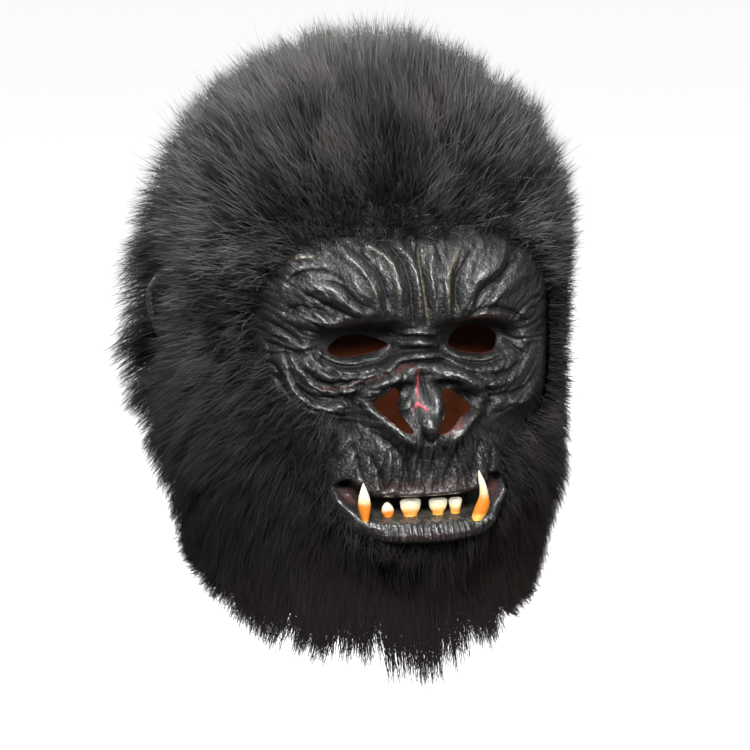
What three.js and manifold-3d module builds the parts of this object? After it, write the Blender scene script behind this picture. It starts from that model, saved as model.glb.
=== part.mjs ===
// A gorilla mask for a whole head: a hollow latex casting with a face, two ears, teeth and deep fur.
// Millimetres. The origin is the crown seat, inside the top of the latex, where the head touches it.
// +Z is up, the face looks along -Y and +X is its right as seen from the front.
import * as THREE from "three";
import Module from "manifold-3d";

const wasm = await Module();
wasm.setup();

// The latex casting.
const WALL = 2.0;
const HEAD_HALF = 90;
const HEAD_FRONT = 104;
const HEAD_BACK = 112;
const WIDEST_DROP = 105;
const CHIN_DIP = 14;

// The face, measured over the opening in the fur.
const FACE_HALF = 76;
const FACE_TOP = 64;
const FACE_TALL = 152;
const NECK_BELOW = 30;
const HEAD_TALL = FACE_TOP + FACE_TALL + NECK_BELOW;
const BROW_REACH = 7;
const SOCKET_DEPTH = 15;
const CHEEK_REACH = 6;
const NOSE_REACH = 17;
const MUZZLE_REACH = 21;
const MOUTH_DEPTH = 12;
const LIP_REACH = 9;
const FOLD_REACH = 5;
const FOLD_HALF = 5;

// The fur.
const PILE = 31;
const CREST = 5;
const LEFT_FULL = 7;
const FUR_GAP = 0.4;
const SEAM = 0.8;
const CROWN_SEAM_DROP = 74;
const BACK_SEAM_ANGLE = 126;
const LOCK_LONG = 42;
const LOCK_WIDE = 20;
const BEARD_LONG = 46;
const TUFT_SHIFT = 7;
const FUR_COLUMNS = 28;
const FUR_ROWS = 12;

// The ears.
const EAR_REACH = 27;
const EAR_HALF_TALL = 27;
const EAR_THICK = 2.6;
const EAR_DROP = 112;
const EAR_BACK = 19;
const EAR_ROOM = 2;

// The teeth.
const TOOTH_TALL = 10;
const TOOTH_THICK = 4.6;
const FANG_TALL = 25;
const FANG_THICK = 5.4;
const TOOTH_PROUD = 7;
const FIT = 0.3;

const COLUMNS_FRONT = 26;
const COLUMNS_BACK = 7;
const DOME_ROWS = 5;
const NECK_ROWS = 2;

// Levels of the rows of points down the face, closest at the eyes and the mouth.
const FACE_LEVELS = [
  -0.02, 0.06, 0.13, 0.19, 0.245, 0.285, 0.32, 0.35, 0.385, 0.42, 0.45, 0.48, 0.51, 0.54, 0.57,
  0.605, 0.64, 0.69, 0.75, 0.8, 0.835, 0.862, 0.889, 0.915, 0.95, 0.99, 1.05,
];

const rad = THREE.MathUtils.degToRad;
const smooth = THREE.MathUtils.smoothstep;

// Half width, front and back of the casting below its widest level, as shares of the named sizes.
const NECK_SECTIONS = [
  { drop: 0.0, side: 1.0, front: 1.0, back: 1.0 },
  { drop: 0.3, side: 0.99, front: 0.98, back: 0.97 },
  { drop: 0.55, side: 0.95, front: 0.93, back: 0.9 },
  { drop: 0.8, side: 0.88, front: 0.86, back: 0.83 },
  { drop: 1.0, side: 0.85, front: 0.82, back: 0.8 },
];

// Swellings and hollows of the face: reach in mm along -Y; p, q are shares of the face's half
// width and height; rp, rq are the half sizes in the same shares; hard sets how flat the top is.
const SWELLINGS = [
  { of: "brow", reach: BROW_REACH, p: 0.46, q: 0.19, rp: 0.3, rq: 0.13, hard: 1 },
  { of: "brow middle", reach: 0.6 * BROW_REACH, p: 0, q: 0.22, rp: 0.16, rq: 0.17, hard: 1 },
  { of: "brow end", reach: 0.7 * BROW_REACH, p: 0.82, q: 0.22, rp: 0.2, rq: 0.17, hard: 1 },
  { of: "socket", reach: -SOCKET_DEPTH, p: 0.4, q: 0.345, rp: 0.27, rq: 0.075, hard: 1.4 },
  { of: "cheek", reach: CHEEK_REACH, p: 0.66, q: 0.46, rp: 0.3, rq: 0.13, hard: 1.2 },
  { of: "nose", reach: 0.5 * NOSE_REACH, p: 0, q: 0.53, rp: 0.42, rq: 0.14, hard: 2 },
  { of: "nose bulb", reach: 0.55 * NOSE_REACH, p: 0, q: 0.57, rp: 0.13, rq: 0.075, hard: 1.3 },
  { of: "nostril", reach: -0.7 * NOSE_REACH, p: 0.21, q: 0.535, rp: 0.11, rq: 0.06, hard: 1.4 },
  { of: "muzzle", reach: MUZZLE_REACH, p: 0, q: 0.8, rp: 0.6, rq: 0.25, hard: 2.4 },
];

// Folds of the face: each follows a line of points (p, q), with its half width as a share of
// FOLD_HALF.
const FOLDS = [
  { of: "forehead fold", reach: 0.5 * FOLD_REACH, half: 0.8, hard: 1,
    line: [[0.1, 0.03], [0.14, 0.2], [0.11, 0.36]] },
  { of: "brow fold", reach: 0.5 * FOLD_REACH, half: 1, hard: 1,
    line: [[0.36, 0.02], [0.27, 0.15], [0.24, 0.3]] },
  { of: "upper lid", reach: 0.8 * FOLD_REACH, half: 1, hard: 1,
    line: [[0.2, 0.26], [0.42, 0.25], [0.66, 0.3], [0.78, 0.37]] },
  { of: "lower lid", reach: 0.8 * FOLD_REACH, half: 1, hard: 1,
    line: [[0.16, 0.4], [0.4, 0.44], [0.62, 0.4]] },
  { of: "bridge", reach: 0.8 * FOLD_REACH, half: 1.6, hard: 1,
    line: [[0.0, 0.3], [0.0, 0.44]] },
  { of: "cheek fold", reach: 0.8 * FOLD_REACH, half: 1.2, hard: 1,
    line: [[0.9, 0.36], [0.84, 0.5], [0.64, 0.57], [0.5, 0.55]] },
  { of: "nose wing", reach: 0.9 * FOLD_REACH, half: 1, hard: 1,
    line: [[0.08, 0.47], [0.22, 0.45], [0.36, 0.48], [0.4, 0.53]] },
  { of: "nostril rim", reach: 0.9 * FOLD_REACH, half: 1, hard: 1,
    line: [[0.42, 0.56], [0.26, 0.64], [0.08, 0.67]] },
  { of: "slot", reach: -MOUTH_DEPTH, half: 1.28, hard: 2,
    line: [[0, 0.874], [0.34, 0.87], [0.45, 0.83], [0.53, 0.795]] },
  { of: "lower lip", reach: LIP_REACH, half: 1.05, hard: 2,
    line: [[0, 0.94], [0.34, 0.936], [0.46, 0.9], [0.53, 0.855]] },
];

// Openings through the face, as shares of the face: the eyes, then the nostrils, left and right.
const OPENINGS = [
  [[-0.19, 0.354], [-0.24, 0.338], [-0.36, 0.325], [-0.5, 0.337], [-0.58, 0.364], [-0.55, 0.381],
    [-0.46, 0.39], [-0.3, 0.381]],
  [[0.22, 0.358], [0.29, 0.325], [0.41, 0.307], [0.53, 0.318], [0.57, 0.348], [0.54, 0.383],
    [0.44, 0.396], [0.3, 0.385]],
  [[-0.33, 0.532], [-0.25, 0.503], [-0.17, 0.485], [-0.165, 0.52], [-0.18, 0.55], [-0.125, 0.61],
    [-0.2, 0.603], [-0.27, 0.568]],
  [[0.09, 0.5], [0.15, 0.485], [0.2, 0.503], [0.245, 0.535], [0.17, 0.575], [0.09, 0.615],
    [0.05, 0.61], [0.07, 0.575], [0.1, 0.54]],
];

// The edge of the fur round the face, clockwise from the top as seen from the front.
const FUR_EDGE = [
  [0.0, 0.02], [0.25, 0.0], [0.48, 0.0], [0.73, 0.05], [0.88, 0.14], [0.98, 0.28],
  [1.02, 0.45], [0.98, 0.56], [0.86, 0.62], [0.66, 0.66], [0.585, 0.72], [0.58, 0.81],
  [0.56, 0.89], [0.46, 0.955], [0.2, 0.975], [0.0, 0.975], [-0.22, 0.97], [-0.42, 0.945],
  [-0.53, 0.885], [-0.56, 0.8], [-0.56, 0.7], [-0.53, 0.62], [-0.56, 0.575], [-0.72, 0.55],
  [-0.88, 0.47], [-0.97, 0.36], [-0.99, 0.28], [-0.95, 0.17], [-0.82, 0.08], [-0.6, 0.03],
  [-0.3, 0.01],
];

// The beard below the lip, from the top corners down.
const BEARD_TOP = { half: 0.5, drop: 0.95 };
const BEARD_FOOT = { half: 0.86, drop: 2.2 };

// Small teeth from left to right: middle, width, height and lean, as shares.
const TEETH = [
  { name: "tooth_1", p: -0.255, wide: 0.1, tall: 0.85, lean: 0.1 },
  { name: "tooth_2", p: -0.1, wide: 0.15, tall: 1.0, lean: 0.0 },
  { name: "tooth_3", p: 0.085, wide: 0.135, tall: 0.95, lean: 0.0 },
  { name: "tooth_4", p: 0.21, wide: 0.1, tall: 0.92, lean: -0.05 },
];
const FANGS = [
  { name: "fang_left", p: -0.37, wide: 0.075, tall: 0.95, bend: -0.02 },
  { name: "fang_right", p: 0.385, wide: 0.1, tall: 1.15, bend: 0.06 },
];
const TOOTH_FOOT_Q = 0.905;
const FANG_FOOT_Q = 0.915;

// Sizes of a tooth from foot to tip: height, width and thickness, as shares.
const TOOTH_RINGS = [
  { up: 0.0, wide: 0.82, thick: 1.0 },
  { up: 0.12, wide: 0.66, thick: 0.9 },
  { up: 0.5, wide: 0.94, thick: 0.86 },
  { up: 0.82, wide: 1.0, thick: 0.7 },
  { up: 1.0, wide: 0.72, thick: 0.4 },
];
const FANG_RINGS = [
  { up: 0.0, wide: 1.0, thick: 1.0 },
  { up: 0.14, wide: 0.92, thick: 0.95 },
  { up: 0.4, wide: 1.05, thick: 0.9 },
  { up: 0.7, wide: 0.7, thick: 0.62 },
  { up: 0.92, wide: 0.3, thick: 0.3 },
];

// --- points and bodies

const add = (a, b, k = 1) => [a[0] + k * b[0], a[1] + k * b[1], a[2] + k * b[2]];
const dot = (a, b) => a[0] * b[0] + a[1] * b[1] + a[2] * b[2];
const cross = (a, b) => [
  a[1] * b[2] - a[2] * b[1],
  a[2] * b[0] - a[0] * b[2],
  a[0] * b[1] - a[1] * b[0],
];
const unit = (a) => {
  const long = Math.hypot(...a) || 1;
  return a.map((v) => v / long);
};

// A closed body from a first point, rings of equal count and a last point; turned to face out.
// Four-sided facets are split one way on the columns that are flipped, the other way on the rest.
function spindle(first, rings, last, flipped = () => false) {
  const count = rings[0].length;
  const points = [first, ...rings.flat(), last];
  const end = points.length - 1;
  const faces = [];
  for (let j = 0; j < count; j++) {
    const k = (j + 1) % count;
    faces.push([0, 1 + j, 1 + k]);
    for (let i = 0; i + 1 < rings.length; i++) {
      const a = 1 + i * count;
      const b = a + count;
      if (flipped(j)) faces.push([a + j, b + j, a + k], [a + k, b + j, b + k]);
      else faces.push([a + j, b + j, b + k], [a + j, b + k, a + k]);
    }
    const a = 1 + (rings.length - 1) * count;
    faces.push([a + j, end, a + k]);
  }
  return body(points, faces);
}

function body(points, faces) {
  const make = (list) =>
    new wasm.Manifold(
      new wasm.Mesh({
        numProp: 3,
        vertProperties: new Float32Array(points.flat()),
        triVerts: new Uint32Array(list.flat()),
      }),
    );
  const made = make(faces);
  return made.volume() > 0 ? made : make(faces.map(([a, b, c]) => [a, c, b]));
}

// A convex or star-shaped outline of [x, z] pairs, swept along Y.
function prismY(outline, from, to) {
  const middle = outline.reduce((s, o) => [s[0] + o[0], s[1] + o[1]], [0, 0]);
  const [x, z] = middle.map((v) => v / outline.length);
  const ring = (y) => outline.map((o) => [o[0], y, o[1]]);
  return spindle([x, from, z], [ring(from), ring(to)], [x, to, z]);
}

function prismZ(outline, from, to) {
  const middle = outline.reduce((s, o) => [s[0] + o[0], s[1] + o[1]], [0, 0]);
  const [x, y] = middle.map((v) => v / outline.length);
  const ring = (z) => outline.map((o) => [o[0], o[1], z]);
  return spindle([x, y, from], [ring(from), ring(to)], [x, y, to]);
}

// The biggest of the bodies that a cut has left.
const biggest = (solid) =>
  solid.decompose().reduce((a, b) => (b.volume() > a.volume() ? b : a));

// --- the face relief

const faceX = (p) => p * FACE_HALF;
const faceZ = (q) => -FACE_TOP - q * FACE_TALL;

function distanceToLine(x, z, line) {
  let least = Infinity;
  for (let i = 0; i + 1 < line.length; i++) {
    const [ax, az] = [faceX(line[i][0]), faceZ(line[i][1])];
    const [bx, bz] = [faceX(line[i + 1][0]), faceZ(line[i + 1][1])];
    const [dx, dz] = [bx - ax, bz - az];
    const along = ((x - ax) * dx + (z - az) * dz) / (dx * dx + dz * dz);
    const t = Math.min(1, Math.max(0, along));
    least = Math.min(least, Math.hypot(x - ax - t * dx, z - az - t * dz));
  }
  return least;
}

// How far the face stands out from the plain head at x, z.
function relief(x, z) {
  const p = Math.abs(x) / FACE_HALF;
  const q = (-z - FACE_TOP) / FACE_TALL;
  let reach = 0;
  for (const s of SWELLINGS) {
    const sides = s.p ? [s.p, -s.p] : [0];
    for (const side of sides) {
      const r2 = ((p - side) / s.rp) ** 2 + ((q - s.q) / s.rq) ** 2;
      reach += s.reach * Math.exp(-(r2 ** s.hard));
    }
  }
  for (const f of FOLDS) {
    const d2 = (distanceToLine(p * FACE_HALF, z, f.line) / (f.half * FOLD_HALF)) ** 2;
    reach += f.reach * Math.exp(-(d2 ** f.hard));
  }
  const side = 1 - smooth(p, 0.92, 1.06);
  const top = smooth(q, -0.12, 0.04);
  const foot = 1 - smooth(q, 1.02, 1.2);
  return reach * side * top * foot;
}

const slope = (x, z) => {
  const dx = (relief(x + 1, z) - relief(x - 1, z)) / 2;
  const dz = (relief(x, z + 1) - relief(x, z - 1)) / 2;
  return Math.min(2.2, Math.hypot(1, dx, dz));
};

// --- the plain head

const FRONT_HARD = 2.6;
const BACK_HARD = 2.2;
const DOME_HARD = { side: 2.3, front: 1.95, back: 2.1 };

// Shares of half width, front and back at a share of the way from the crown to the rim.
function section(t) {
  const widest = WIDEST_DROP / HEAD_TALL;
  if (t < widest) {
    const up = 1 - t / widest;
    const share = (hard) => (1 - up ** hard) ** (1 / hard);
    return { side: share(DOME_HARD.side), front: share(DOME_HARD.front), back: share(DOME_HARD.back) };
  }
  const drop = (t - widest) / (1 - widest);
  const i = Math.max(1, NECK_SECTIONS.findIndex((s) => s.drop >= drop - 1e-9));
  const [a, b] = [NECK_SECTIONS[i - 1], NECK_SECTIONS[i]];
  const k = (drop - a.drop) / (b.drop - a.drop);
  const mix = (key) => a[key] + k * (b[key] - a[key]);
  return { side: mix("side"), front: mix("front"), back: mix("back") };
}

// A point of the plain head at an angle from the front and a share of the way down.
function headPoint(angle, t) {
  const { side, front, back } = section(t);
  const ahead = Math.cos(angle) > 0;
  const hard = ahead ? FRONT_HARD : BACK_HARD;
  const deep = ahead ? front * HEAD_FRONT : back * HEAD_BACK;
  const wide = side * HEAD_HALF;
  const r =
    (Math.abs(Math.sin(angle) / wide) ** hard + Math.abs(Math.cos(angle) / deep) ** hard) **
    (-1 / hard);
  const dip = CHIN_DIP * smooth(t, 0.55, 1) * smooth(Math.cos(angle), 0, 1);
  return [r * Math.sin(angle), -r * Math.cos(angle), WALL - t * HEAD_TALL - dip];
}

function headNormal(angle, t) {
  const low = Math.max(t, 0.004);
  const da = add(headPoint(angle + 0.01, low), headPoint(angle - 0.01, low), -1);
  const dt = add(headPoint(angle, Math.min(1, low + 0.003)), headPoint(angle, low - 0.003), -1);
  return unit(cross(dt, da));
}

// Angles of the columns: even steps across the face in front, even angles behind.
function columns() {
  const edge = 0.9 * HEAD_HALF;
  const list = [];
  for (let i = 0; i <= COLUMNS_FRONT; i++) {
    const x = edge * ((2 * i) / COLUMNS_FRONT - 1);
    const y = HEAD_FRONT * (1 - Math.abs(x / HEAD_HALF) ** FRONT_HARD) ** (1 / FRONT_HARD);
    list.push(Math.atan2(x, y));
  }
  const last = list[list.length - 1];
  const step = (2 * Math.PI - 2 * last) / (COLUMNS_BACK + 1);
  for (let i = 1; i <= COLUMNS_BACK; i++) list.push(last + i * step);
  return list;
}

// Shares down the head of the rows: close over the face.
function rows() {
  const face = FACE_LEVELS.map((q) => Math.min(0.95, (WALL - faceZ(q)) / HEAD_TALL));
  const [from, to] = [face[0], face[face.length - 1]];
  const dome = [];
  for (let i = 1; i < DOME_ROWS; i++) dome.push(from * (i / DOME_ROWS) ** 1.9);
  const neck = [];
  for (let i = 1; i <= NECK_ROWS; i++) neck.push(to + ((1 - to) * i) / NECK_ROWS);
  return [...dome, ...face, ...neck];
}

// The casting's surface, moved out by a distance (in, where it is negative).
function castPoint(angle, t, out) {
  const plain = headPoint(angle, t);
  const moved = add(plain, headNormal(angle, t), out);
  if (Math.cos(angle) <= 0) return moved;
  const [x, , z] = plain;
  return add(moved, [0, -relief(x, z) - out * (slope(x, z) - 1), 0]);
}

const COLUMN_ANGLES = columns();
const ROW_SHARES = rows();
const castRings = (out) => ROW_SHARES.map((t) => COLUMN_ANGLES.map((a) => castPoint(a, t, out)));
const crown = (out) => [0, 0, WALL + out];
const onRight = (j) => {
  const next = COLUMN_ANGLES[(j + 1) % COLUMN_ANGLES.length];
  return Math.sin(COLUMN_ANGLES[j]) + Math.sin(next) > 0;
};

// The casting filled up, grown by a gap and carried on below the rim: what other pieces clear.
function clearance(gap) {
  const rings = castRings(gap);
  const rim = rings[rings.length - 1];
  const below = rim.map(([x, y, z]) => [x, y, z - 2 * BEARD_LONG]);
  const foot = below[0][2];
  return spindle(crown(gap), [...rings, below], [0, 0, foot], onRight);
}

function latexMask() {
  const outer = castRings(0);
  const inner = castRings(-WALL).reverse();
  let cast = spindle(crown(0), [...outer, ...inner], crown(-WALL), onRight);
  for (const outline of OPENINGS) {
    const hole = outline.map(([p, q]) => [faceX(p), faceZ(q)]);
    cast = cast.subtract(prismY(hole, -2 * HEAD_FRONT, -0.3 * HEAD_FRONT));
  }
  return cast;
}

// --- the ears

// Height of the ear's front over its plate from the middle to the edge, as shares of its reach.
const EAR_DISH = [
  { r: 0.6, rise: 0.0 },
  { r: 0.78, rise: 0.15 },
  { r: 0.9, rise: 0.2 },
  { r: 1.0, rise: 0.12 },
];
const EAR_SIDES = 18;
const EAR_LEAN = 22;

function ear(side, keepOut) {
  const root = HEAD_HALF - EAR_ROOM;
  const lean = rad(EAR_LEAN);
  const place = (out, up, ahead) => [
    side * (root + out * Math.cos(lean) + ahead * Math.sin(lean)),
    EAR_BACK - 0.5 * EAR_REACH * Math.sin(lean) + out * Math.sin(lean) - ahead * Math.cos(lean),
    -EAR_DROP + up,
  ];
  const ring = (r, ahead) =>
    Array.from({ length: EAR_SIDES }, (_, i) => {
      const turn = (2 * Math.PI * i) / EAR_SIDES;
      const up = r * EAR_HALF_TALL * Math.sin(turn);
      const out = r * EAR_REACH * Math.cos(turn) * (1 + 0.12 * Math.sin(turn));
      return place(out, up, ahead);
    });
  const front = EAR_DISH.map((d) => ring(d.r, d.rise * EAR_REACH));
  const back = [...EAR_DISH].reverse().map((d) => ring(d.r, d.rise * EAR_REACH - EAR_THICK));
  const plate = spindle(place(0, 0, 0), [...front, ...back], place(0, 0, -EAR_THICK));
  return biggest(plate.subtract(keepOut));
}

// The hollow in the fur where an ear stands.
function earPocket(side) {
  const ring = (x, k) =>
    Array.from({ length: 14 }, (_, i) => {
      const turn = (2 * Math.PI * (i + 0.5)) / 14;
      const round = (v) => k * Math.sign(v) * Math.sqrt(Math.abs(v));
      const y = EAR_BACK + 0.5 * (EAR_REACH + EAR_ROOM) * round(Math.cos(turn));
      return [side * x, y, -EAR_DROP + (EAR_HALF_TALL + 1.5 * EAR_ROOM) * round(Math.sin(turn))];
    });
  const from = 0.7 * HEAD_HALF;
  const to = HEAD_HALF + 3 * PILE;
  return spindle(
    [side * from, EAR_BACK, -EAR_DROP],
    [ring(from, 1), ring(HEAD_HALF, 1), ring(to, 1.25)],
    [side * to, EAR_BACK, -EAR_DROP],
  );
}

// --- the teeth

const SIDES = 8;

// The foremost of the casting's front near a place on the face.
function frontAt(p, q) {
  const [x, z] = [faceX(p), faceZ(q)];
  const t = (WALL - z) / HEAD_TALL;
  const { side, front } = section(Math.min(1, t));
  const wide = side * HEAD_HALF;
  const plain = front * HEAD_FRONT * (1 - Math.abs(x / wide) ** FRONT_HARD) ** (1 / FRONT_HARD);
  return -plain - relief(x, z);
}

function toothBody(rings, size, centre) {
  const ring = (r) =>
    Array.from({ length: SIDES }, (_, i) => {
      const turn = (2 * Math.PI * (i + 0.5)) / SIDES;
      const [x, y, z] = centre(r.up);
      return [
        x + 0.5 * r.wide * size.wide * Math.cos(turn),
        y + 0.5 * r.thick * size.thick * Math.sin(turn),
        z,
      ];
    });
  return spindle(centre(0), rings.map(ring), centre(1));
}

function tooth(row, keepOut) {
  const foot = faceZ(TOOTH_FOOT_Q);
  const y = frontAt(row.p, 0.862) - 0.5 * TOOTH_THICK - TOOTH_PROUD;
  const tall = row.tall * TOOTH_TALL;
  const wide = row.wide * FACE_HALF;
  const centre = (up) => [faceX(row.p) + row.lean * tall * up, y + 0.06 * tall * up, foot + tall * up];
  const made = toothBody(TOOTH_RINGS, { wide, thick: TOOTH_THICK }, centre);
  return biggest(made.subtract(keepOut));
}

function fang(row, keepOut) {
  const foot = faceZ(FANG_FOOT_Q);
  const y = frontAt(row.p, 0.862) - 0.5 * FANG_THICK - 2 * TOOTH_PROUD;
  const tall = row.tall * FANG_TALL;
  const bend = row.bend * FACE_HALF;
  const centre = (up) => [
    faceX(row.p) + bend * Math.sin(1.2 * Math.PI * up) * 1.2,
    y - 1.5 * up * (1 - up),
    foot + tall * up,
  ];
  const made = toothBody(FANG_RINGS, { wide: row.wide * FACE_HALF, thick: FANG_THICK }, centre);
  return biggest(made.subtract(keepOut));
}

// --- the fur

const furEdge = FUR_EDGE.map(([p, q]) => [faceX(p), faceZ(q)]);

// How far a place lies outside the fur's edge round the face, seen from the front.
function outsideFace(x, z) {
  let least = Infinity;
  let inside = false;
  furEdge.forEach(([ax, az], i) => {
    const [bx, bz] = furEdge[(i + 1) % furEdge.length];
    const [dx, dz] = [bx - ax, bz - az];
    const along = ((x - ax) * dx + (z - az) * dz) / (dx * dx + dz * dz);
    const t = Math.min(1, Math.max(0, along));
    least = Math.min(least, Math.hypot(x - ax - t * dx, z - az - t * dz));
    if (az > z !== bz > z && x < ax + ((z - az) / (bz - az)) * dx) inside = !inside;
  });
  return inside ? 0 : least;
}

// Depth of the fur: short round the face, a crest over the crown, full at the sides and fullest
// at the left.
function pile(angle, t) {
  const [x, , z] = headPoint(angle, t);
  const near = Math.cos(angle) > 0 ? smooth(outsideFace(x, z), 0, 0.6 * FACE_HALF) : 1;
  const crest = CREST * Math.exp(-((x / (0.3 * HEAD_HALF)) ** 2)) * (1 - smooth(t, 0.02, 0.25));
  const left = LEFT_FULL * smooth(-x / HEAD_HALF, 0.5, 0.95) * Math.exp(-(((t - 0.47) / 0.17) ** 2));
  return PILE * (0.42 + 0.58 * near) + crest + left;
}

const furPoint = (angle, t, share = 1) =>
  add(headPoint(angle, t), headNormal(angle, t), share * pile(angle, t));

// The way the fur lies: away from the face, and down below the eyes and behind.
function comb(angle, t) {
  const n = headNormal(angle, t);
  const [x, y, z] = headPoint(angle, t);
  const down = smooth(t, 0.3, 0.62) + 0.5 * smooth(y / HEAD_BACK, -0.18, 0.54);
  const behind = y / HEAD_FRONT + 0.4;
  const above = (z + FACE_TOP) / FACE_TALL + 0.4;
  const away = [x / FACE_HALF, 0.6 * behind, above];
  const way = add(add([0, 0.3, 0], away, 1 - 0.7 * Math.min(1, down)), [0, 0, -1], 1.6 * down);
  return unit(add(way, n, -dot(way, n)));
}

// A pointed lock, its root in the fur and its tip standing off.
function lock(root, way, out, long, wide) {
  const across = unit(cross(way, out));
  const ring = (along, up, k) => {
    const c = add(add(root, way, along * long), out, up * long);
    return [[1, 0], [0, 1], [-1, 0], [0, -1]].map(([s, o]) =>
      add(add(c, across, 0.5 * wide * k * s), out, 0.32 * wide * k * o),
    );
  };
  const start = add(root, out, -0.14 * long);
  const tip = add(add(root, way, long), out, 0.26 * long);
  return spindle(start, [ring(0.06, -0.08, 0.8), ring(0.46, 0.05, 1)], tip);
}

// Rows of locks over the fur: how far down, how many round, and their length as a share.
const LOCK_ROWS = [
  { t: 0.06, count: 5, long: 0.7 },
  { t: 0.24, count: 7, long: 0.85 },
  { t: 0.45, count: 7, long: 0.95 },
  { t: 0.66, count: 8, long: 1.05 },
  { t: 0.82, count: 8, long: 1.05 },
  { t: 0.95, count: 13, long: 1.0 },
];
// Locks of the beard: angle from the front in degrees, how far down and length as a share.
const BEARD_LOCKS = [
  { angle: -36, t: 0.93, long: 0.8 },
  { angle: -24, t: 0.96, long: 0.95 },
  { angle: -11, t: 0.95, long: 1.05 },
  { angle: 3, t: 0.97, long: 1.25 },
  { angle: 14, t: 0.95, long: 1.1 },
  { angle: 26, t: 0.96, long: 0.95 },
  { angle: 38, t: 0.93, long: 0.8 },
];

// A point of the tousled fur: every other one is the tip of a tuft, the rest lie in between.
function tuftPoint(i, j, angle, t) {
  const tip = (i + j) % 2 === 0;
  const even = furPoint(angle, t, tip ? 1.07 : 0.93);
  const z = even[2];
  const edge = t > 0.97 || (even[1] < 0 && outsideFace(even[0], z) < 0.2 * FACE_HALF);
  return tip && !edge ? add(even, comb(angle, t), TUFT_SHIFT) : even;
}

function furBody() {
  const count = FUR_COLUMNS;
  const shares = Array.from({ length: FUR_ROWS }, (_, i) => ((i + 1) / FUR_ROWS) ** 1.3);
  const rings = shares.map((t, i) =>
    Array.from({ length: count }, (_, j) => tuftPoint(i, j, (2 * Math.PI * j) / count, t)),
  );
  const rim = rings[rings.length - 1];
  const foot = rim.reduce((s, v) => s + v[2], 0) / count;
  let fur = spindle([0, 0, WALL + PILE + CREST], rings, [0, 0, foot]);
  const locks = [];
  LOCK_ROWS.forEach((row, i) => {
    for (let j = 0; j < row.count; j++) {
      const angle = (2 * Math.PI * (j + 0.5 * (i % 2) + 0.13 * Math.sin(7 * j + 3 * i))) / row.count;
      const t = row.t + 0.02 * Math.sin(5 * j + 2 * i);
      const [x, y, z] = headPoint(angle, t);
      if (y < 0 && outsideFace(x, z) < 0.24 * FACE_HALF) continue;
      const long = row.long * LOCK_LONG * (1 + 0.12 * Math.sin(11 * j + i));
      const out = headNormal(angle, t);
      locks.push(lock(furPoint(angle, t, 0.93), comb(angle, t), out, long, LOCK_WIDE));
    }
  });
  for (const row of BEARD_LOCKS) {
    const angle = rad(row.angle);
    const root = furPoint(angle, row.t, 0.55);
    const out = unit([Math.sin(angle), -Math.cos(angle), 0]);
    const way = unit([-0.25 * Math.sin(angle), 0, -1]);
    locks.push(lock(root, way, out, row.long * BEARD_LONG, LOCK_WIDE));
  }
  for (const one of locks) fur = fur.add(one);
  return fur;
}

function furPieces() {
  const far = 3 * (HEAD_BACK + PILE);
  let fur = furBody().subtract(clearance(FUR_GAP));
  fur = fur.subtract(prismY(furEdge, -far, -0.1 * HEAD_FRONT));
  for (const side of [1, -1]) fur = fur.subtract(earPocket(side));

  const box = (x0, x1, y0, y1, z0, z1) =>
    prismZ([[x0, y0], [x1, y0], [x1, y1], [x0, y1]], z0, z1);
  const above = box(-far, far, -far, far, -CROWN_SEAM_DROP + SEAM / 2, far);
  const below = box(-far, far, -far, far, -2 * far, -CROWN_SEAM_DROP - SEAM / 2);
  const lower = fur.intersect(below);

  const turn = rad(BACK_SEAM_ANGLE);
  const wedge = (gap) =>
    prismZ(
      [[0, -gap], [far * Math.sin(turn), -far * Math.cos(turn) - gap], [0, 3 * far],
        [-far * Math.sin(turn), -far * Math.cos(turn) - gap]],
      -2 * far, far,
    );
  const beard = (gap) =>
    prismY(
      [[BEARD_TOP.half, BEARD_TOP.drop], [BEARD_FOOT.half, BEARD_FOOT.drop],
        [-BEARD_FOOT.half, BEARD_FOOT.drop], [-BEARD_TOP.half, BEARD_TOP.drop]]
        .map(([p, q], i) => [faceX(p) + (i < 2 ? gap : -gap), faceZ(q) + (q < 1 ? gap : 0)]),
      -far, 0,
    );
  const half = (side) => box(0, side * far, -far, far, -2 * far, far);
  const rest = lower.subtract(wedge(SEAM)).subtract(beard(SEAM));
  return {
    fur_crown: biggest(fur.intersect(above)),
    fur_back: biggest(lower.intersect(wedge(0))),
    fur_beard: biggest(lower.intersect(beard(0))),
    fur_left: biggest(rest.intersect(half(-1))),
    fur_right: biggest(rest.intersect(half(1))),
  };
}

// --- the whole

const COLOURS = { latex: 0x1b1b1d, tooth: 0xe9c46a, fur: 0x0e0d0e };
const group = new THREE.Group();

function piece(name, solid, colour) {
  const made = solid.getMesh();
  const n = made.numProp;
  const points = new Float32Array(made.numVert * 3);
  for (let i = 0; i < made.numVert; i++) {
    points.set(made.vertProperties.subarray(i * n, i * n + 3), i * 3);
  }
  const geometry = new THREE.BufferGeometry()
    .setAttribute("position", new THREE.BufferAttribute(points, 3))
    .setIndex(new THREE.BufferAttribute(made.triVerts, 1));
  geometry.computeVertexNormals();
  const material = new THREE.MeshStandardMaterial({ color: colour, roughness: 0.6 });
  const mesh = new THREE.Mesh(geometry, material);
  mesh.name = name;
  group.add(mesh);
}

const keepOut = clearance(FIT);
piece("latex_mask", latexMask(), COLOURS.latex);
piece("ear_left", ear(-1, keepOut), COLOURS.latex);
piece("ear_right", ear(1, keepOut), COLOURS.latex);
for (const row of TEETH) piece(row.name, tooth(row, keepOut), COLOURS.tooth);
for (const row of FANGS) piece(row.name, fang(row, keepOut), COLOURS.tooth);
for (const [name, solid] of Object.entries(furPieces())) piece(name, solid, COLOURS.fur);

export default group;
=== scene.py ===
"""Looks of a gorilla mask for a whole head: latex face, ears, teeth and deep black fur."""

import logging
import math
from dataclasses import dataclass
from enum import Enum
from typing import Iterable, Sequence

import bpy
import numpy as np
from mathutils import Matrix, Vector, kdtree


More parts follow.
